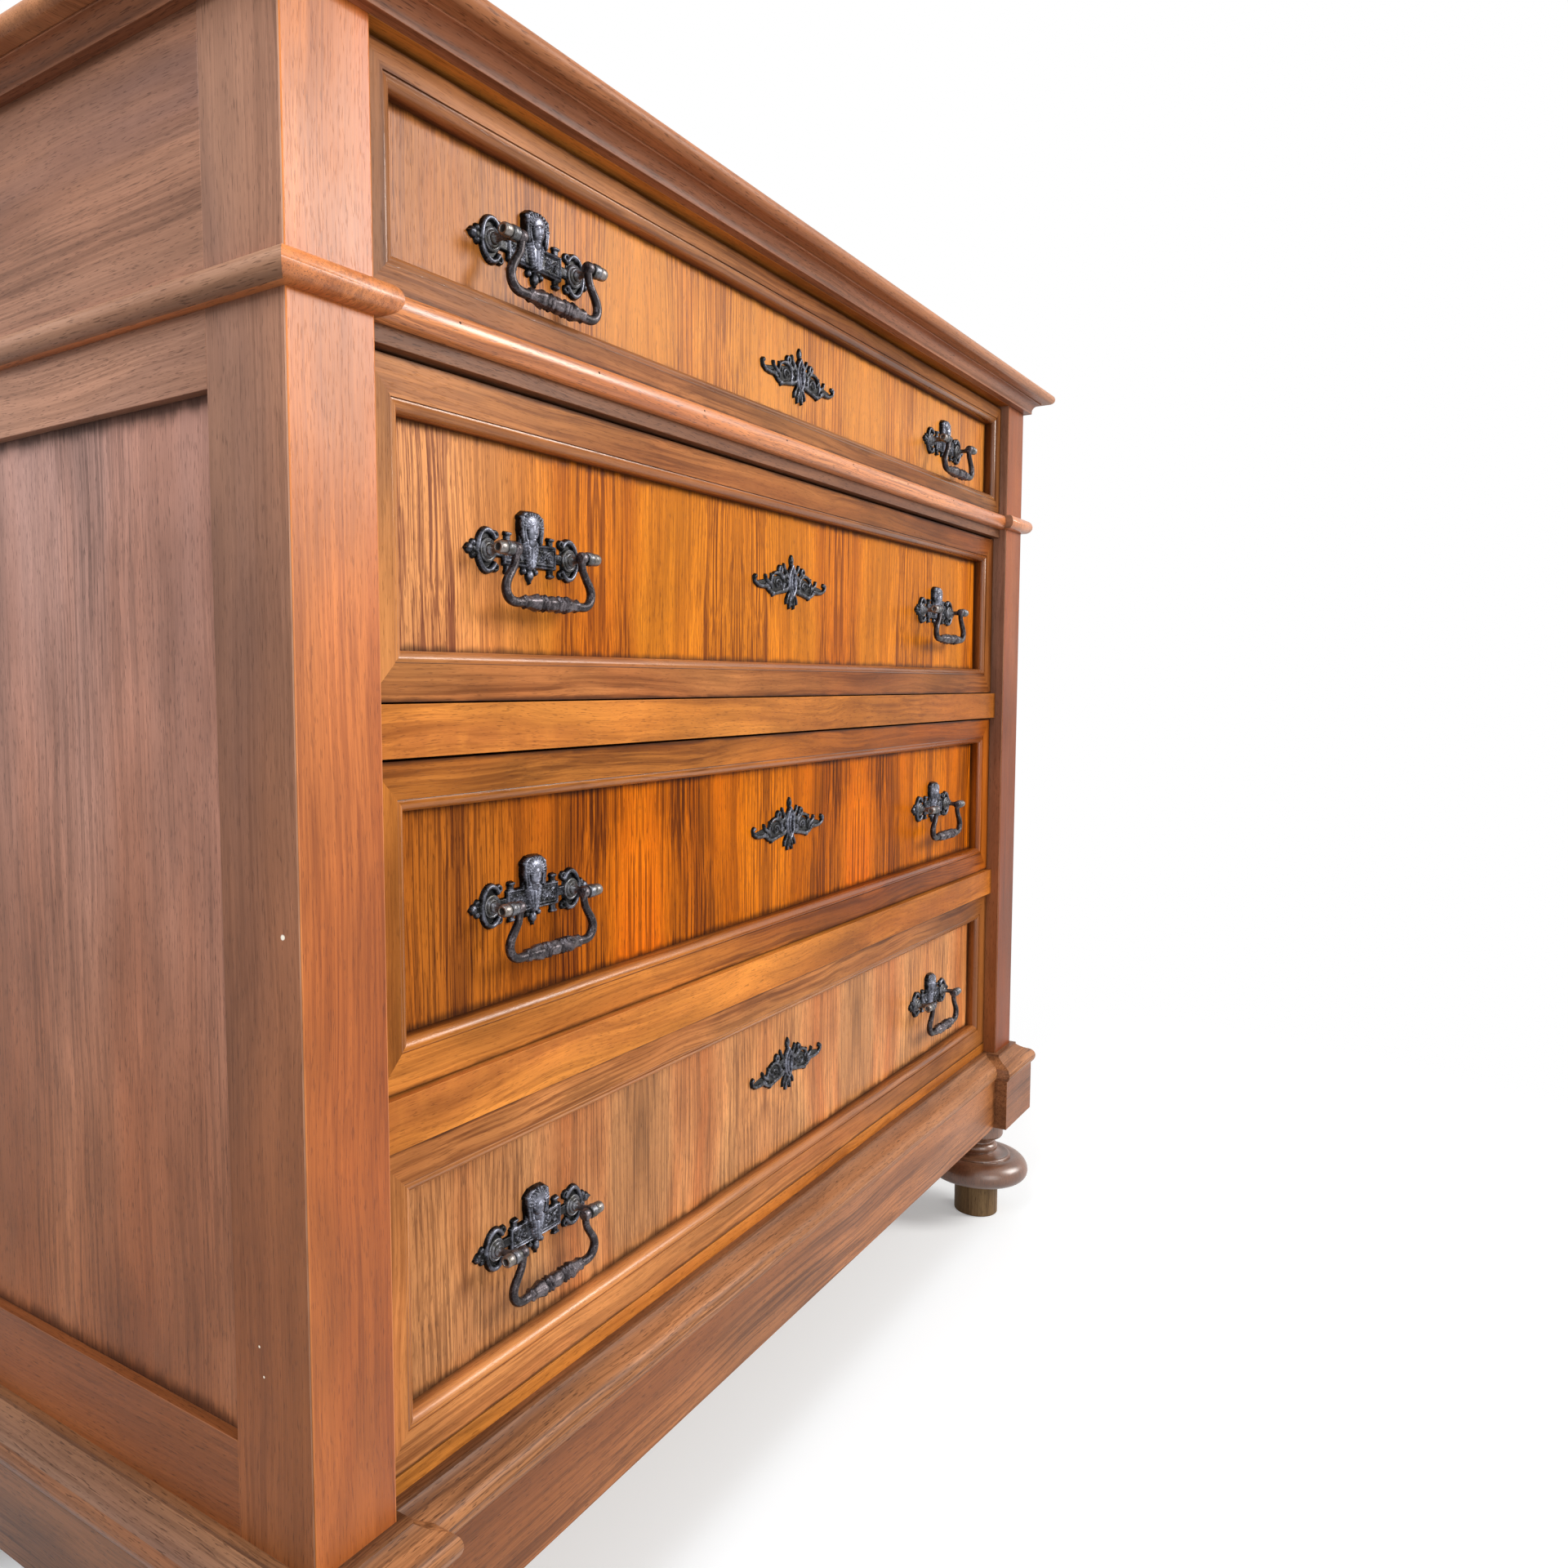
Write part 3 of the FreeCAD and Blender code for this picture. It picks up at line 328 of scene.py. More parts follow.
def boards(node, material, seed, body="case", name=None, grain=None, wear_and_painted_light=None, other=None,
           dirt_and_shade=None):
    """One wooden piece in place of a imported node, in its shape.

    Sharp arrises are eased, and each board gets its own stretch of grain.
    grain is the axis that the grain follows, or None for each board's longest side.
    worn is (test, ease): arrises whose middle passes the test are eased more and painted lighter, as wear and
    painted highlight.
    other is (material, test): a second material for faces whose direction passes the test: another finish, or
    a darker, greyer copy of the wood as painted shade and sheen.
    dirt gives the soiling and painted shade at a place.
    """
    mesh = packed(node)
    flattened(mesh)
    eased(mesh, wear_and_painted_light)
    grained(mesh, grain, dirt_and_shade, seed)
    materials = [material]
    if other:
        materials.append(other[0])
        for side in mesh.faces:
            side.material_index = int(other[1](side.normal))
    name = name or node + "_wood"
    return placed(name, finished(mesh, name, *materials), body, node)


def vectors(tree, operation, *values):
    """One sum over vectors."""
    return add(tree, "VectorMath", *values, operation=operation).outputs[0]


def cloud(tree, vector, across, along, detail, rough, low, high):
    """Noise drawn out along the grain, spread so that low turns to nought and high to one."""
    drawn_out = vectors(tree, "MULTIPLY", vector, (across, across, along))
    noise = add(tree, "TexNoise", inputs={
        "Vector": drawn_out, "Scale": 1.0, "Detail": detail, "Roughness": rough})
    return spread(tree, noise.outputs["Fac"], low, high)


def attribute(tree, name, output="Fac"):
    """A value that the mesh carries from point to point."""
    return add(tree, "Attribute", attribute_name=name).outputs[output]


def split(tree, vector):
    """The three parts of a vector."""
    return add(tree, "SeparateXYZ", vector).outputs


def warped(tree, vector, reach):
    """A grain place pushed sideways by slow noise, so that lines on it sway."""
    slow = vectors(tree, "MULTIPLY", vector, (9.0, 9.0, 4.5))
    sway = add(tree, "TexNoise", inputs={"Vector": slow, "Scale": 1.0, "Detail": 2.0}).outputs["Color"]
    centred = vectors(tree, "SUBTRACT", sway, (0.5, 0.5, 0.5))
    return vectors(tree, "MULTIPLY_ADD", centred, (reach, reach, 0), vector)


def mitred(tree, place, axis, half_width, middle, half_length, shift, filled):
    """Grain places in a frame mitred from lengths along X and lengths along another axis."""
    parts = split(tree, place)
    beside = 0.0 if filled else maths(tree, "SUBTRACT", maths(tree, "ABSOLUTE", parts[0]), half_width)
    beyond = maths(tree, "ABSOLUTE", maths(tree, "SUBTRACT", parts[axis], middle))
    crosswise = maths(tree, "GREATER_THAN", beside, maths(tree, "SUBTRACT", beyond, half_length))
    rows = []
    for order in ((1, 2, 0), (3 - axis, 0, axis)):
        shifted = [maths(tree, "ADD", parts[source], shift) for source in order]
        rows.append(add(tree, "CombineXYZ", *shifted).outputs[0])
    return blended(tree, crosswise, *rows, kind="VECTOR")


def rimmed(tree, place, ragged, axis, low, high, bottom, top, reach):
    """Grime and painted shade gathered along the edges of an upright rectangle, ragged by a noise."""
    parts = split(tree, place)
    gaps = [maths(tree, "SUBTRACT", parts[axis], low), maths(tree, "SUBTRACT", high, parts[axis]),
            maths(tree, "SUBTRACT", parts[2], bottom), maths(tree, "SUBTRACT", top, parts[2])]
    gap = maths(tree, "MINIMUM", maths(tree, "MINIMUM", *gaps[:2]), maths(tree, "MINIMUM", *gaps[2:]))
    gap = maths(tree, "MULTIPLY_ADD", ragged, reach * 0.45, gap)
    return spread(tree, gap, reach, reach * 0.15, smooth=True)


def walnut(name, tones, gloss=0.34, shine=0.15, figure=9.0, streak=0.5, cluster=12.0, line=260.0,
           pores=0.6, pore_size=(1500.0, 120.0), wander=0.014, flame=0.03, leaf=None, spots=0.6, rim=None,
           shimmer=0.12, mottle=0.16, painted_light=None, chips=(), mitre=None, planks=None):
    """Polished walnut: broad figure, clusters of dark lines, fine fibre, open pores, pin pricks, and soiling
    with painted shade, lighter arrises as wear and painted highlight, and painted sheen.

    tones are the light, middle and dark wood and a band of another hue. leaf is the width of one
    veneer leaf, laid book-matched. rim is (axis, low, high, bottom, top, reach), the edges along which
    soiling and painted shade gather. drift is (axis, low, high, gain, gain), painted light: gains that
    make the wood paler, bluer or darker from one place to another, as painted sheen and fall of light.
    chips are (place, reach) of spots where raw wood shows.
    mitre is (axis, half width, middle, half length, shift) of a frame mitred from lengths along X and
    lengths along that axis, each with its own grain. planks is (start, width, bottom, top) of upright
    boards that fill such a frame edge to edge.
    """
    light, middle, dark, band = (tint(*tone) for tone in tones)
    pore = (dark[0] * 0.45, dark[1] * 0.4, dark[2] * 0.4, 1.0)
    # Arrises are painted in this lighter, bluer colour, as wear and painted highlight.
    pale_wear_and_highlight = (min(light[0] * 1.25, 1), min(light[1] * 1.4, 1), min(light[2] * 1.6, 1), 1.0)
    material, tree = new_material(name)
    place = add(tree, "TexCoord").outputs["Object"]
    grain = mitred(tree, place, *mitre, filled=bool(planks)) if mitre else attribute(tree, "grain", "Vector")
    if leaf:
        parts = split(tree, grain)
        grain = add(tree, "CombineXYZ", maths(tree, "PINGPONG", parts[0], leaf), *parts[1:]).outputs[0]
    fibre = warped(tree, grain, wander)
    tongue = warped(tree, grain, flame)

    broad = cloud(tree, tongue, figure, figure * 0.13, 3, 0.55, 0.34, 0.66)
    hue = cloud(tree, tongue, figure * 1.9, figure * 0.21, 3, 0.5, 0.48, 0.72)
    bands = cloud(tree, tongue, figure * 5, figure * 0.16, 4, 0.55, 0.46, 0.68)
    bunch = cloud(tree, tongue, cluster, cluster * 0.12, 2, 0.5, 0.42, 0.62)
    lines = cloud(tree, fibre, line, line * 0.012, 2, 0.55, 0.50, 0.61)
    threads = cloud(tree, fibre, line * 2.2, line * 0.022, 2, 0.6, 0.47, 0.62)
    fuzz = cloud(tree, fibre, 1700.0, 34.0, 2, 0.6, 0.3, 0.7)
    pits = cloud(tree, fibre, *pore_size, 1, 0.5, 0.61, 0.68)
    bars = cloud(tree, fibre, 26.0, 70.0, 3, 0.6, 0.45, 0.75)
    patch = cloud(tree, grain, 60.0, 24.0, 3, 0.6, 0.36, 0.62)
    dull = cloud(tree, grain, 11.0, 5.0, 4, 0.6, 0.3, 0.75)

    colour = blended(tree, broad, middle, light)
    for noise, strength, tone in (
            (hue, 0.7, band), (bars, shimmer, light), (bands, 0.55 * streak, dark),
            (lines, maths(tree, "MULTIPLY_ADD", bunch, 0.82 * streak, 0.18 * streak), dark),
            (threads, maths(tree, "MULTIPLY_ADD", bunch, 0.50 * streak, 0.40 * streak), dark),
            (fuzz, 0.12 + 0.2 * streak, dark), (pits, pores, pore)):
        colour = blended(tree, maths(tree, "MULTIPLY", noise, strength), colour, tone)
    # Painted light: gains that change the wood from one place to another, as painted sheen and fall of light.
    if painted_light:
        axis, low, high, first, second = painted_light
        share = spread(tree, split(tree, place)[axis], low, high, smooth=True)
        colour = vectors(tree, "MULTIPLY", colour, blended(tree, share, (*first, 1.0), (*second, 1.0)))
    cloudy = cloud(tree, tongue, 18.0, 5.0, 3, 0.6, 0.3, 0.7)
    cloudy = maths(tree, "MULTIPLY_ADD", cloudy, 2 * mottle, 1 - mottle)
    if planks:
        start, width, bottom, top = planks
        parts = split(tree, place)
        count = maths(tree, "DIVIDE", maths(tree, "SUBTRACT", parts[0], start), width)
        own = add(tree, "TexWhiteNoise", inputs={"W": maths(tree, "FLOOR", count)}, noise_dimensions="1D")
        inside = maths(tree, "MULTIPLY", maths(tree, "GREATER_THAN", parts[2], bottom),
                       maths(tree, "LESS_THAN", parts[2], top))
        beside = maths(tree, "MULTIPLY", maths(tree, "PINGPONG", count, 0.5), width)
        seam = maths(tree, "MULTIPLY", spread(tree, beside, *seam_half), inside)
        varied = maths(tree, "MULTIPLY_ADD", own.outputs["Value"], 0.24, -0.12)
        cloudy = maths(tree, "ADD", cloudy, maths(tree, "MULTIPLY", varied, inside))
        colour = blended(tree, maths(tree, "MULTIPLY", seam, 0.8), colour, grime_and_shade_colour)
    value = maths(tree, "MULTIPLY_ADD", attribute(tree, "tone"), 0.08, cloudy)
    colour = add(tree, "HueSaturation", inputs={"Value": value, "Color": colour}).outputs[0]
    # How much lighter the arrises are painted, as wear and painted highlight.
    wear_and_highlight = maths(tree, "MULTIPLY", maths(tree, "MULTIPLY_ADD", patch, 0.45, 0.30), attribute(tree, "wear_and_painted_light"))
    colour = blended(tree, wear_and_highlight, colour, pale_wear_and_highlight)

    cells = add(tree, "TexVoronoi", inputs={"Vector": place, "Scale": prick_cells}).outputs
    drawn = split(tree, cells["Color"])[0]
    size = maths(tree, "MULTIPLY", maths(tree, "SUBTRACT", drawn, 1 - spots), prick_reach)
    prick = spread(tree, maths(tree, "SUBTRACT", cells["Distance"], size), 0.001, -0.001)
    colour = blended(tree, maths(tree, "MULTIPLY", prick, 0.8), colour, grime_and_shade_colour)
    for chip, reach in chips:
        apart = add(tree, "VectorMath", place, chip, operation="DISTANCE").outputs["Value"]
        ragged = maths(tree, "MULTIPLY_ADD", patch, reach * 0.8, apart)
        colour = blended(tree, spread(tree, ragged, reach, reach * 0.8), colour, chip_colour)
    # Soiling and painted shade, from the mesh and along the rim, darken the wood.
    soiled_and_shaded = attribute(tree, "grime_and_shade")
    if rim:
        soiled_and_shaded = maths(tree, "MAXIMUM", soiled_and_shaded, rimmed(tree, place, patch, *rim))
    dusty_and_shaded = maths(tree, "MULTIPLY", maths(tree, "MULTIPLY_ADD", patch, 0.25, 0.68), soiled_and_shaded)
    colour = blended(tree, dusty_and_shaded, colour, grime_and_shade_colour)

    height = maths(tree, "MULTIPLY_ADD", pits, -0.7, maths(tree, "MULTIPLY", fuzz, -0.3))
    height = maths(tree, "MULTIPLY_ADD", prick, -3.0, height)
    bump = add(tree, "Bump", inputs={"Strength": 0.35, "Distance": bump_depth, "Height": height})
    polish = add(tree, "BsdfPrincipled", inputs={
        "Base Color": colour, "Roughness": maths(tree, "MULTIPLY_ADD", dull, 0.14, gloss),
        "Specular IOR Level": shine, "Normal": bump.outputs[0]})
    add(tree, "OutputMaterial", polish.outputs[0])
    return material


def looks_sideways(facing):
    """Whether a face looks left or right."""
    return abs(facing.x) > sideways_limit


def post_arris(place):
    """The upright outer and inner arrises of a front post."""
    low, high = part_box("front_left_post")
    at_front = abs(place.y - low[1]) < arris_reach
    at_side = min(abs(abs(place.x) - abs(low[0])), abs(abs(place.x) - abs(high[0]))) < arris_reach
    return at_front and at_side and low[2] + arris_ends < place.z < high[2] - arris_ends


# The flanks of the posts take a greyer, bluer copy of the walnut, as painted shade and sheen.
post_flank_sheen = walnut("post_flank_walnut", side_tones, figure=8.0, streak=0.36, cluster=18.0, pores=0.4,
                    spots=0.7, mottle=0.24, painted_light=side_painted_light, chips=post_chips)
for seed, node, tones, shine in ((11, "front_left_post", post_tones, 0.3),
                                 (12, "front_right_post", right_post_tones, 0.12)):
    face = walnut(node + "_walnut", tones, figure=8.0, streak=0.42, cluster=20.0, line=300.0, gloss=0.30,
                  pores=0.35, shine=shine, mottle=0.26, painted_light=post_painted_light)
    boards(node, face, seed, wear_and_painted_light=(post_arris, post_ease), other=(post_flank_sheen, looks_sideways))
for seed, node in ((15, "back_left_post"), (16, "back_right_post")):
    boards(node, post_flank_sheen, seed)

# Framed sides. Three rails stand flush between the posts on each side, and a loose panel lies in
# their grooves, its grain upright and its colour greyer than the front.
panel_tones = ((0.70, 0.525, 0.44), (0.58, 0.415, 0.34), (0.33, 0.225, 0.18), (0.64, 0.41, 0.29))
panel_tongue = 0.008
# Soiling and painted shade along the panel's edges, where it runs into the rails' grooves.
panel_grime_and_shade = 0.014
# The side rails and panels carry painted light: darker low down, paler and bluer high up.
side_look = dict(pores=0.5, pore_size=(1600.0, 140.0), painted_light=side_painted_light)
rail_walnut = walnut("side_rail_walnut", side_tones, figure=11.0, cluster=20.0, mottle=0.2, **side_look)
for number, side in enumerate(("left", "right")):
    node = side + "_side_panel"
    low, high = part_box(node)
    edges = (1, low[1] + panel_tongue, high[1] - panel_tongue, low[2] + panel_tongue, high[2] - panel_tongue,
             panel_grime_and_shade)
    panel_walnut = walnut(node + "_walnut", panel_tones, figure=6.0, streak=0.38, line=330.0, gloss=0.38,
                          rim=edges, mottle=0.32, **side_look)
    boards(side + "_side_rails", rail_walnut, 21 + number)
    boards(node, panel_walnut, 25 + number)

# Top and cornice. A thin top with a round nose overhangs a coved cornice, which is mitred at the
# front corners and glued under the top. Where the cove meets its fillet it is darker, as dust and painted
# shade.
top_tones = ((0.76, 0.52, 0.36), (0.66, 0.42, 0.27), (0.40, 0.23, 0.13), (0.62, 0.36, 0.22))
cornice_tones = ((0.72, 0.48, 0.34), (0.60, 0.37, 0.25), (0.36, 0.20, 0.12), (0.50, 0.30, 0.22))
cornice_fillet = 0.003
cornice_grime_and_shade = (0.004, 0.7)


def thinned(distance, reach, strength):
    """Grime and painted shade of some strength that thins out to nothing at a reach."""
    return max(0.0, 1.0 - distance / reach) * strength


def cornice_dirt_and_shade(place):
    """Grime and painted shade where the cove meets the fillet below it."""
    low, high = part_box("cornice_front")
    return thinned(abs(place.z - low[2] - cornice_fillet), *cornice_grime_and_shade)


top_walnut = walnut("top_walnut", top_tones, figure=8.0, streak=0.45, cluster=14.0)
cornice_walnut = walnut("cornice_walnut", cornice_tones, figure=12.0, streak=0.4, cluster=30.0)
boards("top_board", top_walnut, 31)
boards("cornice_front", cornice_walnut, 32, dirt_and_shade=cornice_dirt_and_shade)
boards("cornice_sides", cornice_walnut, 33, dirt_and_shade=cornice_dirt_and_shade)

# Front rails. Plain rails between the posts separate the drawers. They are a little paler and
# yellower than the posts, with soft flame figure, and turn darker and more orange to the right as painted
# fall of light. The waist rail is painted darker and greyer as painted shadow of the bead above it.
rail_tones = ((0.84, 0.54, 0.27), (0.70, 0.41, 0.19), (0.44, 0.23, 0.10), (0.60, 0.34, 0.20))
# The waist rail is painted darker and greyer, as painted shadow of the bead.
waist_rail_shadow_tones = ((0.56, 0.38, 0.27), (0.46, 0.30, 0.21), (0.27, 0.16, 0.11), (0.42, 0.26, 0.19))
# Painted light: the front rails turn darker and more orange to the right, as fall of light and sheen.
rail_painted_light = (0, -0.4, 0.5, (1.08, 1.08, 0.85), (0.76, 0.68, 0.43))
rail_look = dict(figure=14.0, cluster=24.0, line=150.0, wander=0.03)
front_rail_walnut = walnut("front_rail_walnut", rail_tones, pores=0.4, shimmer=0.3, shine=0.06, mottle=0.32,
                           painted_light=rail_painted_light, **rail_look)
waist_rail_walnut = walnut("waist_rail_walnut", waist_rail_shadow_tones, shine=0.1, mottle=0.2, **rail_look)
for number, node in enumerate(("top_rail", "waist_rail", "drawer_rails", "bottom_rail")):
    boards(node, waist_rail_walnut if node == "waist_rail" else front_rail_walnut, 41 + number)

# Waist bead. A half-round bead wraps the case under the top drawer, mitred round both front posts.
# It is walnut, glued and pinned on; its front is painted lighter and its sides darker and greyer, as painted
# highlight and painted shade.
bead_tones = ((0.94, 0.62, 0.38), (0.84, 0.50, 0.28), (0.50, 0.27, 0.13), (0.76, 0.42, 0.22))
# The bead's sides are painted darker and greyer than its front, as painted shade.
bead_side_shade_tones = ((0.74, 0.58, 0.47), (0.63, 0.46, 0.36), (0.42, 0.28, 0.20), (0.56, 0.38, 0.30))
bead_lean, bead_front = 0.3, 0.5
bead_walnut = walnut("bead_walnut", bead_tones, figure=14.0, streak=0.55, cluster=20.0, gloss=0.26,
                     shine=0.6)
bead_side_shade_walnut = walnut("bead_side_shade_walnut", bead_side_shade_tones, figure=14.0, streak=0.4, cluster=30.0,
                          gloss=0.3)


def leans_sideways(facing):
    """Whether a rounded face turns at all towards the left or right."""
    return abs(facing.x) > bead_lean and abs(facing.y) < bead_front


for number, node in enumerate(("waist_bead_front", "waist_bead_ends")):
    boards(node, bead_walnut, 51 + number, other=(bead_side_shade_walnut, leans_sideways))

# Plinth. Boards, corner blocks and a moulded cap stand forward of the case at its foot. They are
# walnut, mitred at the corners and glued on. Their sides take a darker, greyer copy of the walnut as
# painted shade, and the cap's left end is painted bluer as painted sheen.
plinth_tones = ((0.70, 0.45, 0.27), (0.57, 0.34, 0.19), (0.31, 0.17, 0.09), (0.48, 0.29, 0.18))
# The sides of the plinth and cap are painted darker and greyer than their fronts, as painted shade.
plinth_side_shade_tones = ((0.58, 0.38, 0.25), (0.46, 0.29, 0.18), (0.26, 0.15, 0.09), (0.42, 0.25, 0.16))
cap_tones = ((0.78, 0.52, 0.33), (0.64, 0.40, 0.24), (0.34, 0.19, 0.10), (0.54, 0.33, 0.21))
cap_side_shade_tones = ((0.64, 0.44, 0.31), (0.52, 0.34, 0.23), (0.30, 0.18, 0.12), (0.47, 0.29, 0.20))
# Painted sheen: the cap's left end turns bluer and less red.
cap_painted_light = (0, -0.585, -0.555, (0.62, 0.86, 1.45), (0.84, 0.88, 0.92))
cap_grime_and_shade = (0.008, 0.45)
low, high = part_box("plinth_cap")
plinth_middle = 0.05
plinth_corner = (1, high[0], plinth_middle, plinth_middle - low[1], 2.3)
plinth_look = dict(figure=12.0, streak=0.6, cluster=16.0)


def cap_dirt_and_shade(place):
    """Grime and painted shade along the fillet where the cap meets the case."""
    low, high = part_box("plinth_cap")
    return thinned(high[2] - place.z, *cap_grime_and_shade)


plinth_walnut = walnut("plinth_walnut", plinth_tones, pores=0.5, mottle=0.24, **plinth_look)
plinth_side_shade_walnut = walnut("plinth_side_shade_walnut", plinth_side_shade_tones, pores=0.5, mottle=0.24,
                            mitre=plinth_corner, **plinth_look)
cap_walnut = walnut("plinth_cap_walnut", cap_tones, mottle=0.2, painted_light=cap_painted_light, mitre=plinth_corner,
                    **plinth_look)
cap_side_shade_walnut = walnut("plinth_cap_side_walnut", cap_side_shade_tones, mottle=0.2, mitre=plinth_corner,
                         **plinth_look)
for number, node in enumerate(("plinth_boards", "plinth_blocks")):
    boards(node, plinth_walnut, 61 + number, other=(plinth_side_shade_walnut, looks_sideways))
boards("plinth_cap", cap_walnut, 63, other=(cap_side_shade_walnut, looks_sideways), dirt_and_shade=cap_dirt_and_shade)

# Feet. Turned walnut feet, each from one billet, with a bare stump worn pale at the floor.
# Each has a dowel at its top, let into a front post or, at the back, into the bottom board.
foot_tones = ((0.54, 0.37, 0.27), (0.41, 0.26, 0.18), (0.21, 0.13, 0.09), (0.41, 0.21, 0.14))
stump_tones = ((0.58, 0.47, 0.33), (0.46, 0.36, 0.25), (0.28, 0.20, 0.13), (0.40, 0.29, 0.20))
stump_limit = 0.0465
foot_walnut = walnut("foot_walnut", foot_tones, figure=16.0, streak=0.3, cluster=40.0, gloss=0.26, shine=0.9)
stump_walnut = walnut("stump_walnut", stump_tones, figure=16.0, cluster=40.0, gloss=0.5)
feet = boards("feet", foot_walnut, 71)
feet.data.materials.append(stump_walnut)
for side in feet.data.polygons:
    if max(feet.data.vertices[corner].co.z for corner in side.vertices) < stump_limit:
        side.material_index = 1

# Inside of the case. Runners, guides, bottom and back are plain pale wood, never polished. The back
# is a frame of two rails with five upright boards, all nailed to the case.
deal_tones = ((0.76, 0.60, 0.42), (0.66, 0.49, 0.32), (0.46, 0.31, 0.18), (0.60, 0.42, 0.26))
deal_look = dict(gloss=0.62, figure=10.0, cluster=22.0, line=120.0, pores=0.1)
back_boards = 5
back_rails = (0.070, 0.060)
deal = walnut("plain_deal", deal_tones, streak=0.4, **deal_look)
for number, node in enumerate(("drawer_runners", "bottom_board")):
    boards(node, deal, 81 + number)
low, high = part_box("back_panel")
bottom, top = low[2] + back_rails[0], high[2] - back_rails[1]
back_deal = walnut("back_deal", deal_tones, streak=0.45,
                   mitre=(2, 0.0, (bottom + top) / 2, (top - bottom) / 2, 3.1),
                   planks=(low[0], (high[0] - low[0]) / back_boards, bottom, top), **deal_look)
boards("back_panel", back_deal, 83)

# Drawers. Each front is a pine core with a walnut veneer field, its grain upright, inside a mitred
# frame and a thumbnail moulding. Sides, back and bottom are plain wood, dovetailed and grooved.
drawers = ["drawer_%d" % number for number in range(1, 5)]
frame_tones = ((0.71, 0.46, 0.25), (0.59, 0.36, 0.18), (0.34, 0.17, 0.07), (0.55, 0.30, 0.15))
# Painted light: each frame is painted paler and bluer at its left end and darker at its right, as painted
# sheen and fall of light.
frame_painted_light_span = (0, -0.45, 0.40)
frame_painted_light_gains = (
    ((1.12, 1.24, 1.65), (0.75, 0.77, 0.74)),
    ((1.30, 1.38, 1.55), (0.73, 0.64, 0.52)),
    ((1.60, 1.55, 1.10), (0.95, 0.64, 0.20)),
    ((1.60, 1.70, 1.90), (0.98, 0.92, 0.80)),
)
veneer_tones = (
    ((0.92, 0.61, 0.30), (0.80, 0.47, 0.17), (0.44, 0.20, 0.08), (0.76, 0.39, 0.14)),
    ((0.93, 0.58, 0.20), (0.80, 0.45, 0.12), (0.38, 0.16, 0.05), (0.82, 0.38, 0.10)),
    ((0.96, 0.56, 0.10), (0.79, 0.41, 0.06), (0.26, 0.10, 0.03), (0.85, 0.37, 0.06)),
    ((0.98, 0.70, 0.45), (0.72, 0.44, 0.23), (0.36, 0.18, 0.08), (0.78, 0.38, 0.14)),
)
# Each row is streak, shine, mottle and painted light: gains towards the veneer's left end, as painted sheen
# and shade.
veneer_looks = (
    (0.75, 0.12, 0.16, (0, -0.48, -0.24, (0.62, 0.58, 0.58), (1.00, 1.04, 0.80))),
    (0.85, 0.04, 0.16, (0, -0.48, -0.30, (1.15, 1.60, 6.00), (1.00, 0.96, 0.50))),
    (1.00, 0.02, 0.16, (0, -0.48, -0.22, (0.66, 0.72, 2.40), (1.10, 1.08, 0.80))),
    (0.50, 0.10, 0.34, (0, -0.48, 0.20, (0.80, 0.84, 0.90), (1.00, 1.02, 0.98))),
)
frame_widths = ((0.0155, 0.0128),) + ((0.023, 0.0205),) * 3
moulding_width = 0.0068
moulding_depth = 0.006
# Soiling and painted shade on the moulding, round the field by the moulding and round the frame by its gap.
moulding_grime_and_shade = 0.8
moulding_tilt = (0.15, 0.985)
quirk_width = 0.0006
quirk_depth = 0.0004
field_grime_and_shade = 0.0065
frame_grime_and_shade = 0.0034
veneer_leaf = 0.19
frame_shift = 1.7
frame_look = dict(figure=14.0, line=200.0, wander=0.02)


def moulding_dirt_and_shade(drawer, stile, rail):
    """Grime and painted shade low on a drawer's thumbnail moulding and in the quirk between it and the frame.
    """
    low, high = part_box(drawer + "_front")
    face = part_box(drawer + "_front_frame")[0][1]

    def dirt_and_shade(place):
        low_down = thinned(low[1] - place.y, moulding_depth, moulding_grime_and_shade)
        beside = min(abs(place.x - low[0] - stile), abs(high[0] - stile - place.x))
        across = min(abs(place.z - low[2] - rail), abs(high[2] - rail - place.z))
        quirk = 1.0 if min(beside, across) < quirk_width and place.y > face + quirk_depth else 0.0
        return max(low_down, quirk)

    return dirt_and_shade


def is_moulded(facing):
    """Whether a face belongs to the rounded part of a moulding."""
    return moulding_tilt[0] < abs(facing.y) < moulding_tilt[1]


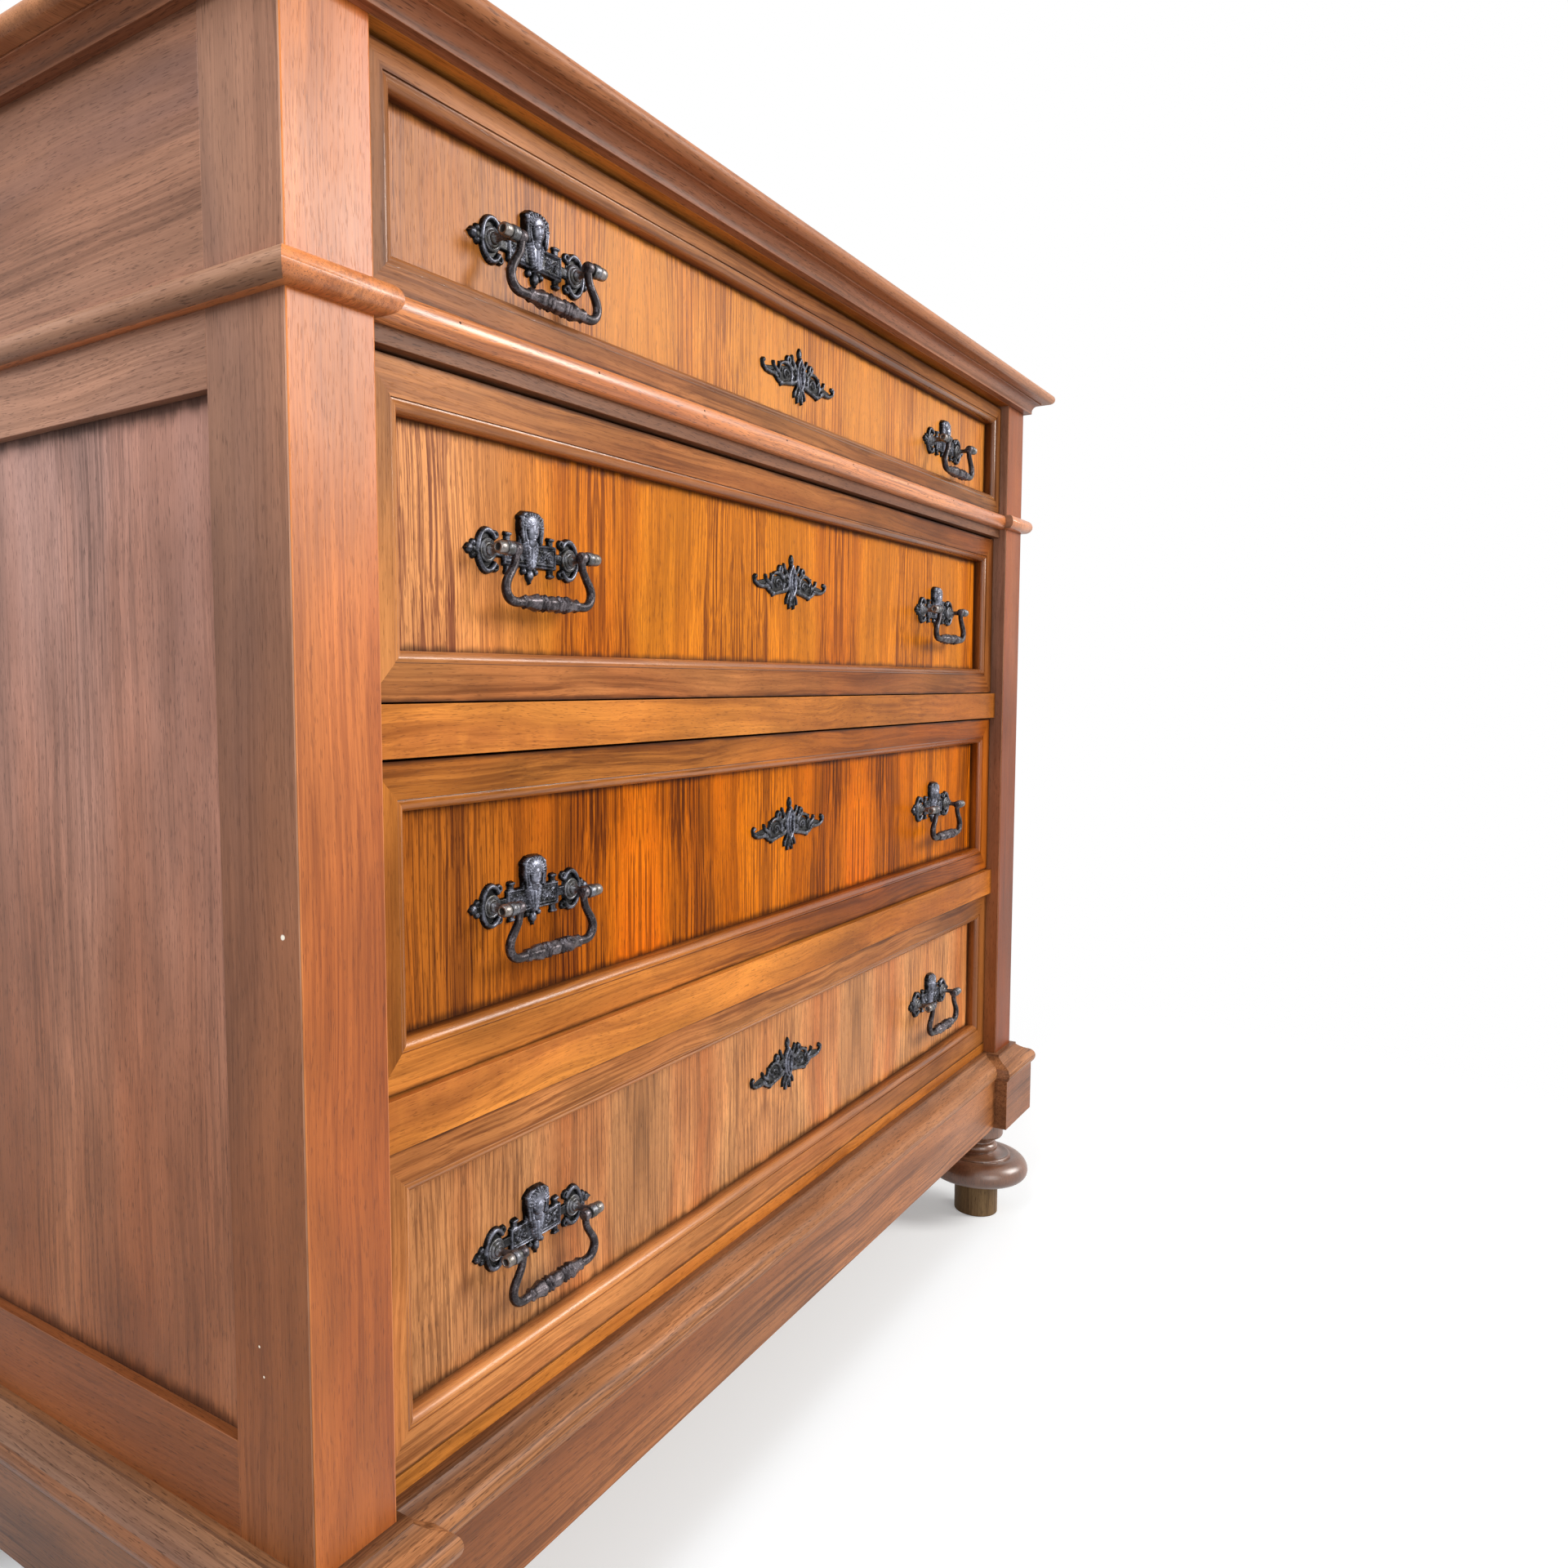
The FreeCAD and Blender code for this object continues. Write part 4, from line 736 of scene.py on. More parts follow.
for number, drawer in enumerate(drawers):
    low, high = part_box(drawer + "_front")
    streak, shine, mottle, painted_light = veneer_looks[number]
    stile, rail = frame_widths[number]
    beside, across = stile + moulding_width, rail + moulding_width
    edges = (0, low[0] + beside, high[0] - beside, low[2] + across, high[2] - across, field_grime_and_shade)
    veneer = walnut(drawer + "_veneer", veneer_tones[number], figure=6.0, streak=streak, cluster=9.0,
                    line=400.0, gloss=0.26, shine=shine, leaf=veneer_leaf, rim=edges, flame=0.06, spots=0.3,
                    pores=0.45, mottle=mottle, painted_light=painted_light)
    mitre = (2, high[0] - stile, (low[2] + high[2]) / 2, (high[2] - low[2]) / 2 - rail,
             frame_shift * (number + 1))
    look = dict(frame_look, painted_light=(*frame_painted_light_span, *frame_painted_light_gains[number]), mitre=mitre)
    frame_walnut = walnut(drawer + "_frame_walnut", frame_tones, streak=0.6, cluster=26.0, gloss=0.26,
                          shine=0.05, pores=0.3, mottle=0.34,
                          rim=(0, low[0], high[0], low[2], high[2], frame_grime_and_shade), **look)
    moulding_walnut = walnut(drawer + "_moulding_walnut", frame_tones, cluster=30.0, gloss=0.20,
                             shine=0.35, pores=0.2, **look)
    boards(drawer + "_front", veneer, 101 + number, drawer, drawer + "_field", grain=2)
    boards(drawer + "_front_frame", frame_walnut, 111 + number, drawer, drawer + "_frame",
           other=(moulding_walnut, is_moulded), dirt_and_shade=moulding_dirt_and_shade(drawer, stile, rail))
    for step, part in enumerate(("_sides", "_back", "_bottom")):
        boards(drawer + part, deal, 121 + 10 * step + number, drawer)

# Pull plates. Cast plates of dark metal on every drawer: a strap with ribbed edges and scrolls, a mask
# with a headdress, a pendant, and at each end a hooped rosette whose post carries the bail.
sink = -0.25
wall = 5.0
edge_drop = 0.6
post_reach = 39.25
pivot_stand = 17.5
flute_from = 3.0
crease_limit = math.radians(55)
metal_bump = 0.0001
metal_dark = (0.03, 0.028, 0.034)
metal_worn = (0.56, 0.57, 0.63)
metal_bright = (0.60, 0.58, 0.52)
post_profile = [(0, 7.2), (2.2, 7.2), (2.9, 6.9), (3.1, 6.3), (2.7, 5.9), (2.7, 5.4), (3.8, 5.0), (4.1, 4.5),
                (3.7, 4.1), (3.8, 3.7), (5.0, 3.5), (5.4, 3.0), (6.0, 2.4), (9.0, 2.1), (12.0, 2.6),
                (16.0, 2.9)]
barrel_profile = [(-3.0, 3.3), (-2.8, 4.0), (-2.2, 4.35), (-1.2, 4.0), (-0.4, 4.3), (1.6, 4.4), (2.5, 4.2),
                  (2.9, 3.6)]


class Casting:
    """Points and faces of cast or turned shapes, in millimetres: X right, Y back, Z up."""

    def __init__(self):
        self.points, self.faces, self.proud, self.bright = [], [], [], []

    def take(self, points, faces, proud, bright):
        """Add a shape, with how proud and how bright each of its points is."""
        start = len(self.points)
        self.points += points
        self.faces += [tuple(start + corner for corner in face) for face in faces]
        self.proud += proud
        self.bright += bright


def ridge(points, radius, base, crest, tip=None):
    """A raised line along points, round on top, that may narrow to its last point."""
    end = radius if tip is None else tip
    last = len(points) - 1

    def height(u, v):
        best = sink
        for step in range(last):
            (au, av), (bu, bv) = points[step], points[step + 1]
            du, dv = bu - au, bv - av
            share = max(0.0, min(1.0, ((u - au) * du + (v - av) * dv) / (du * du + dv * dv)))
            reach = radius + (end - radius) * (step + share) / last
            gap = math.hypot(u - au - share * du, v - av - share * dv)
            top = crest * math.sqrt(1 - (gap / reach) ** 2) if gap < reach else -wall * (gap - reach)
            best = max(best, base + top)
        return best

    wide = max(radius, end) + (base - sink) / wall
    return (min(u for u, v in points) - wide, min(v for u, v in points) - wide,
            max(u for u, v in points) + wide, max(v for u, v in points) + wide, height)


def dome(centre, radii, base, crest):
    """An oval boss."""
    def height(u, v):
        gap = math.hypot((u - centre[0]) / radii[0], (v - centre[1]) / radii[1])
        return base + (crest * math.sqrt(1 - gap * gap) if gap < 1 else -wall * (gap - 1) * min(radii))

    wide = 1 + (base - sink) / wall / min(radii)
    return (centre[0] - wide * radii[0], centre[1] - wide * radii[1],
            centre[0] + wide * radii[0], centre[1] + wide * radii[1], height)


def slab(low, high, level, ease=0.8):
    """A flat block with rounded edges, between two corners."""
    def height(u, v):
        inside = min(u - low[0], high[0] - u, v - low[1], high[1] - v)
        if inside > ease:
            return level
        if inside > 0:
            return level - edge_drop * (1 - inside / ease) ** 2
        return level - edge_drop + wall * inside

    wide = (level - sink) / wall
    return low[0] - wide, low[1] - wide, high[0] + wide, high[1] + wide, height


def flipped(form):
    """The same form, upside down on the other side of the plate's middle line."""
    u0, v0, u1, v1, height = form
    return u0, -v1, u1, -v0, lambda u, v: height(u, -v)


def arc(centre, radii, start, end, steps, shrink=1.0):
    """Points along part of an oval or a closing scroll, from one angle to another in degrees."""
    points = []
    for step in range(steps + 1):
        share = step / steps
        angle = math.radians(start + (end - start) * share)
        size = 1 + (shrink - 1) * share
        points.append((centre[0] + radii[0] * size * math.cos(angle),
                       centre[1] + radii[1] * size * math.sin(angle)))
    return points


def heights(forms, u, v):
    """How high each form stands that reaches one place."""
    return [form(u, v) for u0, v0, u1, v1, form in forms if u0 <= u <= u1 and v0 <= v <= v1]


def relief(casting, forms, low, high, pitch, full=5.0, holes=()):
    """A cast relief over a fine grid, the same on both sides of its middle, closed at the back."""
    columns = math.ceil(high[0] / pitch)
    rows = math.ceil((high[1] - low[1]) / pitch)
    lifts = {}
    for column in range(columns + 1):
        for row in range(rows + 1):
            u, v = column * pitch, low[1] + row * pitch
            lift = max([sink, *heights(forms, u, v)])
            lift = min([lift, *(-depth for depth in heights(holes, u, v))])
            lifts[column, row] = lifts[-column, row] = lift
    cells = [(column, row) for column in range(-columns, columns) for row in range(rows)
             if max(lifts[column + i, row + j] for i in (0, 1) for j in (0, 1)) > 0]
    kept = set(cells)
    front, back, points, proud, faces = {}, {}, [], [], []
    for column, row in cells:
        loop = [(column, row), (column + 1, row), (column + 1, row + 1), (column, row + 1)]
        for corner in loop:
            if corner in front:
                continue
            inner = all((corner[0] - i, corner[1] - j) in kept for i in (0, 1) for j in (0, 1))
            lift = max(lifts[corner], sink) if inner else sink
            back[corner] = front[corner] = len(points)
            points.append((corner[0] * pitch, -lift, low[1] + corner[1] * pitch))
            proud.append(max(0.0, min(1.0, lift / full)))
            if inner:
                back[corner] = len(points)
                points.append((corner[0] * pitch, -sink, low[1] + corner[1] * pitch))
                proud.append(0.0)
        faces.append(tuple(front[corner] for corner in loop))
        faces.append(tuple(back[corner] for corner in reversed(loop)))
    casting.take(points, faces, proud, [0.0] * len(points))


def ringed(sections, first, turns, flutes=0, depth=0.0):
    """Points and side faces of round sections, each (middle, second direction, radius); flutes wave them."""
    points, faces = [], []
    for middle, second, radius in sections:
        for turn in range(turns):
            angle = 2 * math.pi * turn / turns
            wave = radius * (1 + depth * math.cos(flutes * angle)) if radius > flute_from else radius
            points.append(tuple(middle + wave * (first * math.cos(angle) + second * math.sin(angle))))
    for start in range(0, (len(sections) - 1) * turns, turns):
        for turn in range(turns):
            after = (turn + 1) % turns
            faces.append((start + turn, start + after, start + turns + after, start + turns + turn))
    return points, faces


def turned(casting, profile, centre, axis, turns=20, flutes=0, depth=0.0, bright=0.0, proud=0.6):
    """A shape turned round an axis from (place along it, radius) pairs, closed at both ends."""
    along, middle = Vector(axis), Vector(centre)
    first = along.orthogonal().normalized()
    sections = [(middle + along * place, along.cross(first), radius) for place, radius in profile]
    points, faces = ringed(sections, first, turns, flutes, depth)
    for start, place, way in ((0, profile[0][0], -1), ((len(profile) - 1) * turns, profile[-1][0], 1)):
        points.append(tuple(middle + along * place))
        for turn in range(turns):
            faces.append((len(points) - 1, *(start + turn, start + (turn + 1) % turns)[::way]))
    casting.take(points, faces, [proud] * len(points), [bright] * len(points))


def cast(name, body, material, node, casting, places):
    """One piece of metal, or several alike, at places given in metres."""
    whole = Casting()
    for place in places:
        whole.take([tuple(start + length / 1000 for start, length in zip(place, point))
                    for point in casting.points], casting.faces, casting.proud, casting.bright)
    mesh = bpy.data.meshes.new(name)
    mesh.from_pydata(whole.points, [], whole.faces)
    shell = bmesh.new()
    shell.from_mesh(mesh)
    bmesh.ops.recalc_face_normals(shell, faces=shell.faces)
    shell.to_mesh(mesh)
    shell.free()
    for layer, values in (("proud", whole.proud), ("bright", whole.bright)):
        mesh.attributes.new(layer, "FLOAT", "POINT").data.foreach_set("value", values)
    mesh.shade_smooth()
    mesh.set_sharp_from_angle(angle=crease_limit)
    mesh.materials.append(material)
    return placed(name, mesh, body, node)


def dark_metal(name, low, high, gloss):
    """Patinated cast metal: hollows darker as patina and painted shade, heights polished by wear, a brassy
    bright part.
    """
    material, tree = new_material(name)
    place = add(tree, "TexCoord").outputs["Object"]
    mottle = cloud(tree, place, 900.0, 900.0, 3, 0.6, 0.35, 0.68)
    wide = cloud(tree, place, 160.0, 160.0, 2, 0.6, 0.35, 0.65)
    grit = cloud(tree, place, 2600.0, 2600.0, 2, 0.6, 0.3, 0.7)
    wear_and_painted_light = maths(tree, "MULTIPLY_ADD", attribute(tree, "proud"), 0.85, maths(tree, "MULTIPLY", mottle, 0.2))
    wear_and_painted_light = maths(tree, "MULTIPLY", wear_and_painted_light, maths(tree, "MULTIPLY_ADD", wide, 0.5, 0.6))
    colour = blended(tree, spread(tree, wear_and_painted_light, 0.32, 1.0), tint(*low), tint(*high))
    colour = blended(tree, attribute(tree, "bright"), colour, tint(*metal_bright))
    bump = add(tree, "Bump", inputs={"Strength": 0.3, "Distance": metal_bump, "Height": grit})
    metal = add(tree, "BsdfPrincipled", inputs={
        "Metallic": 0.75, "Base Color": colour, "Roughness": maths(tree, "MULTIPLY_ADD", mottle, 0.18, gloss),
        "Normal": bump.outputs[0]})
    add(tree, "OutputMaterial", metal.outputs[0])
    return material


paired_forms = [
    ridge(arc((31.6, 9.0), (2.6, 2.4), 60, 250, 8, 0.5), 1.1, 0.8, 1.5),
    dome((51.2, 3.5), (2.3, 2.2), 0.7, 1.7),
    ridge([(0, 6.5), (24.4, 6.5)], 0.8, 1.9, 1.2),
    ridge([(0, 4.9), (23, 4.9)], 0.45, 1.9, 0.6),
    slab((18.6, 6.6), (22.8, 11.0), 2.3),
    ridge([(18.8, 11.2), (22.6, 11.2)], 1.1, 1.6, 1.6),
]
plate_forms = paired_forms + [flipped(form) for form in paired_forms] + [
    slab((-1, -7.2), (25, 7.2), 2.0),
    slab((24, -3.0), (34, 3.0), 1.8),
    dome((post_reach, 0), (8.0, 11.4), 0.4, 0.4),
    ridge(arc((post_reach, 0), (8.4, 11.9), 140, -140, 30), 1.8, 0.8, 2.4),
    slab((47.5, -1.8), (52, 1.8), 1.7),
    dome((54.8, 0), (3.3, 3.1), 0.7, 2.1),
    ridge([(54, 0), (58.6, 0)], 1.9, 0.7, 2.1, 0.5),
    ridge([(24.3, -6.5), (24.3, 6.5)], 0.8, 1.9, 1.2),
    ridge([(22.8, -4.9), (22.8, 4.9)], 0.45, 1.9, 0.6),
    ridge(arc((12.6, 0.9), (2.7, 2.7), -150, 300, 18, 0.25), 0.6, 2.0, 1.1),
    ridge(arc((18.4, -0.9), (2.7, 2.7), 30, 480, 18, 0.25), 0.6, 2.0, 1.1),
    ridge([(9.4, -3.2), (12.6, -1.9), (18.4, 1.9), (21.4, 3.2)], 0.5, 2.0, 0.8),
    dome((9.8, 3.0), (0.9, 0.9), 1.9, 0.9),
    dome((15.6, 3.2), (0.8, 0.8), 1.9, 0.8),
    dome((15.4, -3.3), (0.8, 0.8), 1.9, 0.8),
    dome((21.2, -3.0), (0.9, 0.9), 1.9, 0.9),
    ridge([(0, 8), (0, -6.5)], 7.0, 2.2, 1.9, 2.6),
    ridge([(4.6, 7.5), (1.6, -6.8)], 0.7, 3.6, 1.3),
    ridge([(6.6, 6.5), (3.2, -6.0)], 0.6, 3.0, 1.2),
    ridge([(0, 4), (0, -7.5)], 0.8, 4.2, 1.2),
    slab((-1, -9.0), (6.6, -7.0), 1.8, 0.5),
    dome((5.8, -9.8), (2.1, 2.1), 0.8, 2.4),
    dome((0, -12.0), (3.0, 3.7), 1.2, 2.6),
    ridge([(0, -13), (0, -17)], 1.9, 1.0, 1.6, 0.5),
    slab((-1, 6.5), (10.4, 22.8), 3.2),
]
mask_forms = [
    slab((-1, 6.8), (10.2, 22.4), 3.4, 1.4),
    ridge([(0, 24.4), (6.0, 24.2), (9.8, 22.0)], 2.2, 2.0, 2.6, 1.7),
    dome((0, 19.4), (8.2, 5.8), 3.0, 3.6),
    ridge([(9.0, 22.0), (9.6, 15.0), (8.4, 7.6)], 1.7, 3.0, 2.2, 1.2),
    ridge([(7.0, 20.5), (7.6, 14.5), (6.4, 8.4)], 1.1, 3.4, 2.0, 0.8),
    dome((0, 14.4), (5.4, 6.6), 3.0, 4.6),
    dome((0, 7.6), (3.6, 3.6), 2.6, 3.0),
    ridge([(0, 16.2), (0, 13.2)], 0.7, 7.0, 1.2, 0.95),
    dome((0, 12.9), (1.25, 0.8), 6.8, 1.3),
    ridge([(0.9, 16.5), (2.3, 16.9), (3.9, 16.3)], 0.6, 6.4, 0.8, 0.4),
    dome((2.2, 15.1), (1.0, 0.6), 6.3, 0.6),
    ridge([(0, 11.3), (1.6, 11.2)], 0.45, 6.5, 0.8, 0.25),
    ridge([(0, 10.4), (1.3, 10.4)], 0.45, 6.2, 0.8, 0.25),
    dome((0, 9.0), (1.6, 1.1), 5.4, 1.1),
]
for rib in range(6):
    lean = math.radians(8 + 16 * rib)
    out, up = math.sin(lean), math.cos(lean)
    mask_forms.append(ridge([(6.0 * out, 16.4 + 4.6 * up), (9.6 * out, 16.8 + 8.0 * up)], 0.6, 4.3, 1.5, 0.8))
    mask_forms.append(dome((5.9 * out, 15.2 + 5.9 * up), (0.8, 0.8), 5.2, 1.3))

plate = Casting()
relief(plate, plate_forms, (0, -19), (62, 23.5), pitch=0.5)
relief(plate, mask_forms, (0, 3.6), (12.2, 27.6), pitch=0.3, full=8.0)
for side in (-1, 1):
    turned(plate, post_profile, (side * post_reach, 0, 0), (0, -1, 0), turns=24, bright=0.15)
    turned(plate, barrel_profile, (side * post_reach, -pivot_stand, 0), (side, 0, 0), turns=24, bright=0.15)

plate_metal = dark_metal("cast_plate_metal", metal_dark, metal_worn, 0.24)
swings = {joint["name"]: joint for joint in frame["record"]["behaviour"]["joints"]}
pull_places = {}
for drawer in drawers:
    field_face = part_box(drawer + "_front")[0][1]
    for side in ("left", "right"):
        bail_node = "%s_%s_bail" % (drawer, side)
        low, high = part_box(bail_node)
        pivot = swings[bail_node + "_swing"]["pos_m"]
        pull_places[bail_node] = ((low[0] + high[0]) / 2, field_face, pivot[2])
    cast(drawer + "_pull_castings", drawer, plate_metal, drawer + "_pull_plates", plate,
         list(pull_places.values())[-2:])

# Bails. Each bail is a swan-neck of iron with a baluster grip of leaf cups and ringed beads. It hangs
# from two pins, whose bright cup ends stand outside the posts, and swings up on them.
knuckle_reach = 32.35
grip_level = -30.0
bail_dark = (0.16, 0.14, 0.15)
bail_worn = (0.62, 0.58, 0.60)
bail_line = [(32.35, 0.0, 2.6), (32.4, -4.0, 2.5), (33.6, -8.6, 2.5), (36.6, -13.0, 2.6), (39.8, -17.2, 2.75),
             (41.6, -21.4, 2.9), (41.0, -25.6, 2.95), (38.2, -28.8, 2.95), (33.8, -30.3, 2.9),
             (28.0, -30.3, 2.9), (22.0, -30.0, 2.8)]
knuckle_profile = [(-2.6, 2.6), (-2.4, 3.4), (-1.6, 3.8), (0.4, 3.9), (1.8, 3.7), (2.6, 3.2), (3.0, 2.2)]
cap_profile = [(3.35, 1.8), (3.4, 3.4), (4.0, 3.9), (6.0, 3.9), (8.2, 3.8), (9.2, 3.5), (9.6, 3.0),
               (9.6, 2.4), (9.3, 2.1), (8.4, 2.0), (5.2, 1.9)]
grip_profile = [(27.0, 2.7), (26.2, 3.6), (25.0, 4.2), (23.8, 3.8), (22.2, 3.6), (19.5, 4.0), (17.0, 4.7),
                (15.0, 5.2), (13.6, 5.2), (12.8, 4.4), (12.2, 3.5), (11.2, 3.4), (10.6, 4.2), (9.9, 4.8),
                (9.2, 4.2), (8.7, 3.4), (7.9, 3.4), (7.4, 4.6), (6.6, 5.2), (5.8, 4.6), (5.3, 3.6),
                (4.2, 4.0), (2.2, 4.5), (0.0, 4.7)]


def swept(casting, line, turns=14, between=5, proud=0.35):
    """A rod of changing radius along smooth points in the plane of the bail."""
    smooth = []
    for step in range(len(line) - 1):
        before, here, there, after = (line[max(0, min(len(line) - 1, step + hop))] for hop in (-1, 0, 1, 2))
        for part in range(between):
            t = part / between
            smooth.append(tuple(0.5 * (2 * b + (c - a) * t + (2 * a - 5 * b + 4 * c - d) * t * t
                                       + (3 * b - a - 3 * c + d) * t ** 3)
                                for a, b, c, d in zip(before, here, there, after)))
    smooth.append(line[-1])
    first = Vector((0, -1, 0))
    sections = []
    for step, (x, z, radius) in enumerate(smooth):
        back, ahead = smooth[max(0, step - 1)], smooth[min(len(smooth) - 1, step + 1)]
        along = Vector((ahead[0] - back[0], 0, ahead[1] - back[1])).normalized()
        sections.append((Vector((x, 0, z)), along.cross(first), radius))
    points, faces = ringed(sections, first, turns)
    faces += [tuple(reversed(range(turns))), tuple(range(len(points) - turns, len(points)))]
    casting.take(points, faces, [proud] * len(points), [0.0] * len(points))


bail = Casting()
for side in (-1, 1):
    swept(bail, [(side * x, z, radius) for x, z, radius in bail_line])
    turned(bail, knuckle_profile, (side * knuckle_reach, 0, 0), (side, 0, 0), proud=0.5)
    turned(bail, cap_profile, (side * post_reach, 0, 0), (side, 0, 0), bright=0.3, proud=0.7)
turned(bail, grip_profile + [(-place, radius) for place, radius in reversed(grip_profile[:-1])],
       (0, 0, grip_level), (-1, 0, 0), turns=24, flutes=6, depth=0.07, proud=0.5)
bail_metal = dark_metal("bail_metal", bail_dark, bail_worn, 0.25)
for node, (x, field_face, z) in pull_places.items():
    cast(node + "_iron", node, bail_metal, node, bail, [(x, field_face - pivot_stand / 1000, z)])

# Keyhole plates and locks. A long pierced plate of scrolls with a pointed oval round the keyhole is
# pinned to each field; behind it a plain iron lock is let against the back of the front board.
keyhole_half = 0.0018
keyhole_reach = 0.0001
lock_ease = 0.0006
keyhole_forms = [
    ridge([(4, -1), (15, -2.2), (28, -3.2)], 7.6, 0.4, 0.7, 6.4),
    ridge([(28, -4), (38, -5), (48, -4.4), (58, -5.2)], 5.2, 0.4, 0.6, 2.8),
    ridge([(0, -11), (2, -16)], 5.0, 0.4, 0.8, 4.6),
    dome((0, 17.6), (3.2, 4.2), 1.0, 1.6),
    dome((0, 21.4), (1.5, 1.3), 0.8, 1.2),
    ridge([(8, 6), (12.5, 10.4), (13.6, 13.4)], 2.2, 0.9, 1.4, 1.4),
    ridge([(0, 13.4), (3.6, 9.0), (5.9, 4.2), (6.4, 0), (5.9, -4.2), (3.6, -8.8), (0, -12.6)], 1.5, 1.4, 2.3),
    ridge([(0, 9.6), (2.3, 6.0), (3.2, 0), (2.3, -6.0), (0, -9.4)], 0.8, 1.6, 2.8),
    dome((0, 0), (5.6, 11.5), 1.2, 0.6),
    ridge(arc((0, 17.6), (2.2, 3.4), 270, 90, 8), 1.2, 1.0, 1.3),
    ridge([(0.4, -11.5), (3.6, -16.6), (4.0, -22.0)], 1.9, 1.0, 1.6, 1.0),
    ridge([(5.0, -10.5), (9.0, -15.0), (9.6, -18.2)], 1.7, 1.0, 1.5, 0.9),
    ridge([(0, -13.0), (0, -19.5)], 1.3, 1.0, 1.4, 0.7),
    ridge([(5, 3.5), (10, 4.2), (15, 2.2)], 2.2, 1.0, 1.4),
    ridge([(5, -5), (10, -7.5), (15, -7.5)], 2.2, 1.0, 1.4),
    ridge(arc((26, -2.6), (11.5, 8.6), 200, -28, 18), 1.6, 1.0, 1.6, 1.3),
    ridge(arc((25, -3.4), (5.6, 4.4), 180, -260, 18, 0.25), 1.3, 1.0, 1.3, 0.7),
    ridge([(14, -8.5), (22, -9.6), (31, -11.4), (38, -10.2), (44, -7.0)], 1.9, 1.0, 1.5, 1.5),
    ridge([(13, 3.0), (17.5, 6.5)], 1.2, 1.0, 1.2),
    ridge(arc((20.6, 8.8), (2.6, 2.6), 210, 560, 12), 1.5, 1.0, 1.7),
    ridge([(33, -1.6), (35.4, 1.0), (36.6, 4.4)], 1.5, 1.0, 1.4, 0.7),
    ridge([(37, -4.4), (42, -2.4), (45.4, -0.4), (46.6, 2.6)], 2.0, 1.0, 1.6, 1.1),
    ridge([(43, -6.0), (52, -6.6), (59, -6.0), (64.4, -3.6), (65.6, 0.0), (63.6, 1.4)], 1.9, 1.0, 1.7, 1.2),
    dome((62.6, 0.8), (1.7, 1.7), 1.0, 1.5),
    dome((33.0, -11.6), (2.5, 2.5), 1.0, 1.8),
    dome((12.4, -3.0), (2.0, 1.6), 1.0, 1.6),
    dome((20.0, -3.4), (1.2, 1.2), 1.0, 1.5),
    dome((40.5, -7.4), (1.6, 1.4), 1.0, 1.6),
    dome((46.0, -4.6), (1.4, 1.2), 1.0, 1.3),
    dome((8.6, 0), (1.5, 2.4), 1.0, 1.7),
]
keyhole_gap = [ridge([(0, 4.7), (0, -4.7)], 1.8, 0.0, 2.0)]
keyplate = Casting()
relief(keyplate, keyhole_forms, (0, -24), (68, 22.6), pitch=0.45, holes=keyhole_gap)
lock_iron = dark_metal("lock_iron", (0.30, 0.29, 0.28), (0.52, 0.51, 0.50), 0.38)
lock_boxes = {}
for drawer in drawers:
    node = drawer + "_lock_set"
    field_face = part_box(drawer + "_front")[0][1]
    mesh = packed(node)
    plate_points = [vert for group in islands(mesh) if corners(group)[0].y < field_face for vert in group]
    hole = [vert.co.z for vert in plate_points if abs(abs(vert.co.x) - keyhole_half) < keyhole_reach]
    bmesh.ops.delete(mesh, geom=plate_points, context="VERTS")
    flattened(mesh)
    rounded(mesh, arrises(mesh), lock_ease, 0.5)
    lock_boxes[drawer] = corners(mesh.verts)
    case = finished(mesh, drawer + "_lock_case", lock_iron)
    cast(drawer + "_keyhole_plate", drawer, plate_metal, node, keyplate,
         [(0, field_face, (min(hole) + max(hole)) / 2)])
    placed(drawer + "_lock_case", case, drawer, node)

# Nails, pins and rivets. Geometry Nodes set a small domed head on each given place: nails through the
# back boards and up into the drawer backs, pins along the waist bead, rivets on the lock cases.
nail_iron = dark_metal("nail_iron", (0.20, 0.17, 0.15), (0.42, 0.39, 0.36), 0.45)
pin_iron = dark_metal("pin_iron", (0.10, 0.06, 0.05), (0.20, 0.14, 0.12), 0.5)
back_nail, drawer_nail = (0.0032, 0.0006), (0.0030, 0.0005)
bead_pin, lock_rivet = (0.0009, 0.0004), (0.0022, 0.0009)
head_sides, head_rings = 10, 4
narrowest, widest = 0.88, 1.0
board_setback = 0.012
board_margin = (0.022, 0.012)
pin_margin, pin_sink, pin_rise = 0.06, 0.0004, 0.002
bottom_margin, bottom_inset = 0.05, 0.006
rivet_margin = (0.006, 0.012, 0.008)
backward, forward, downward = (-math.pi / 2, 0, 0), (math.pi / 2, 0, 0), (math.pi, 0, 0)


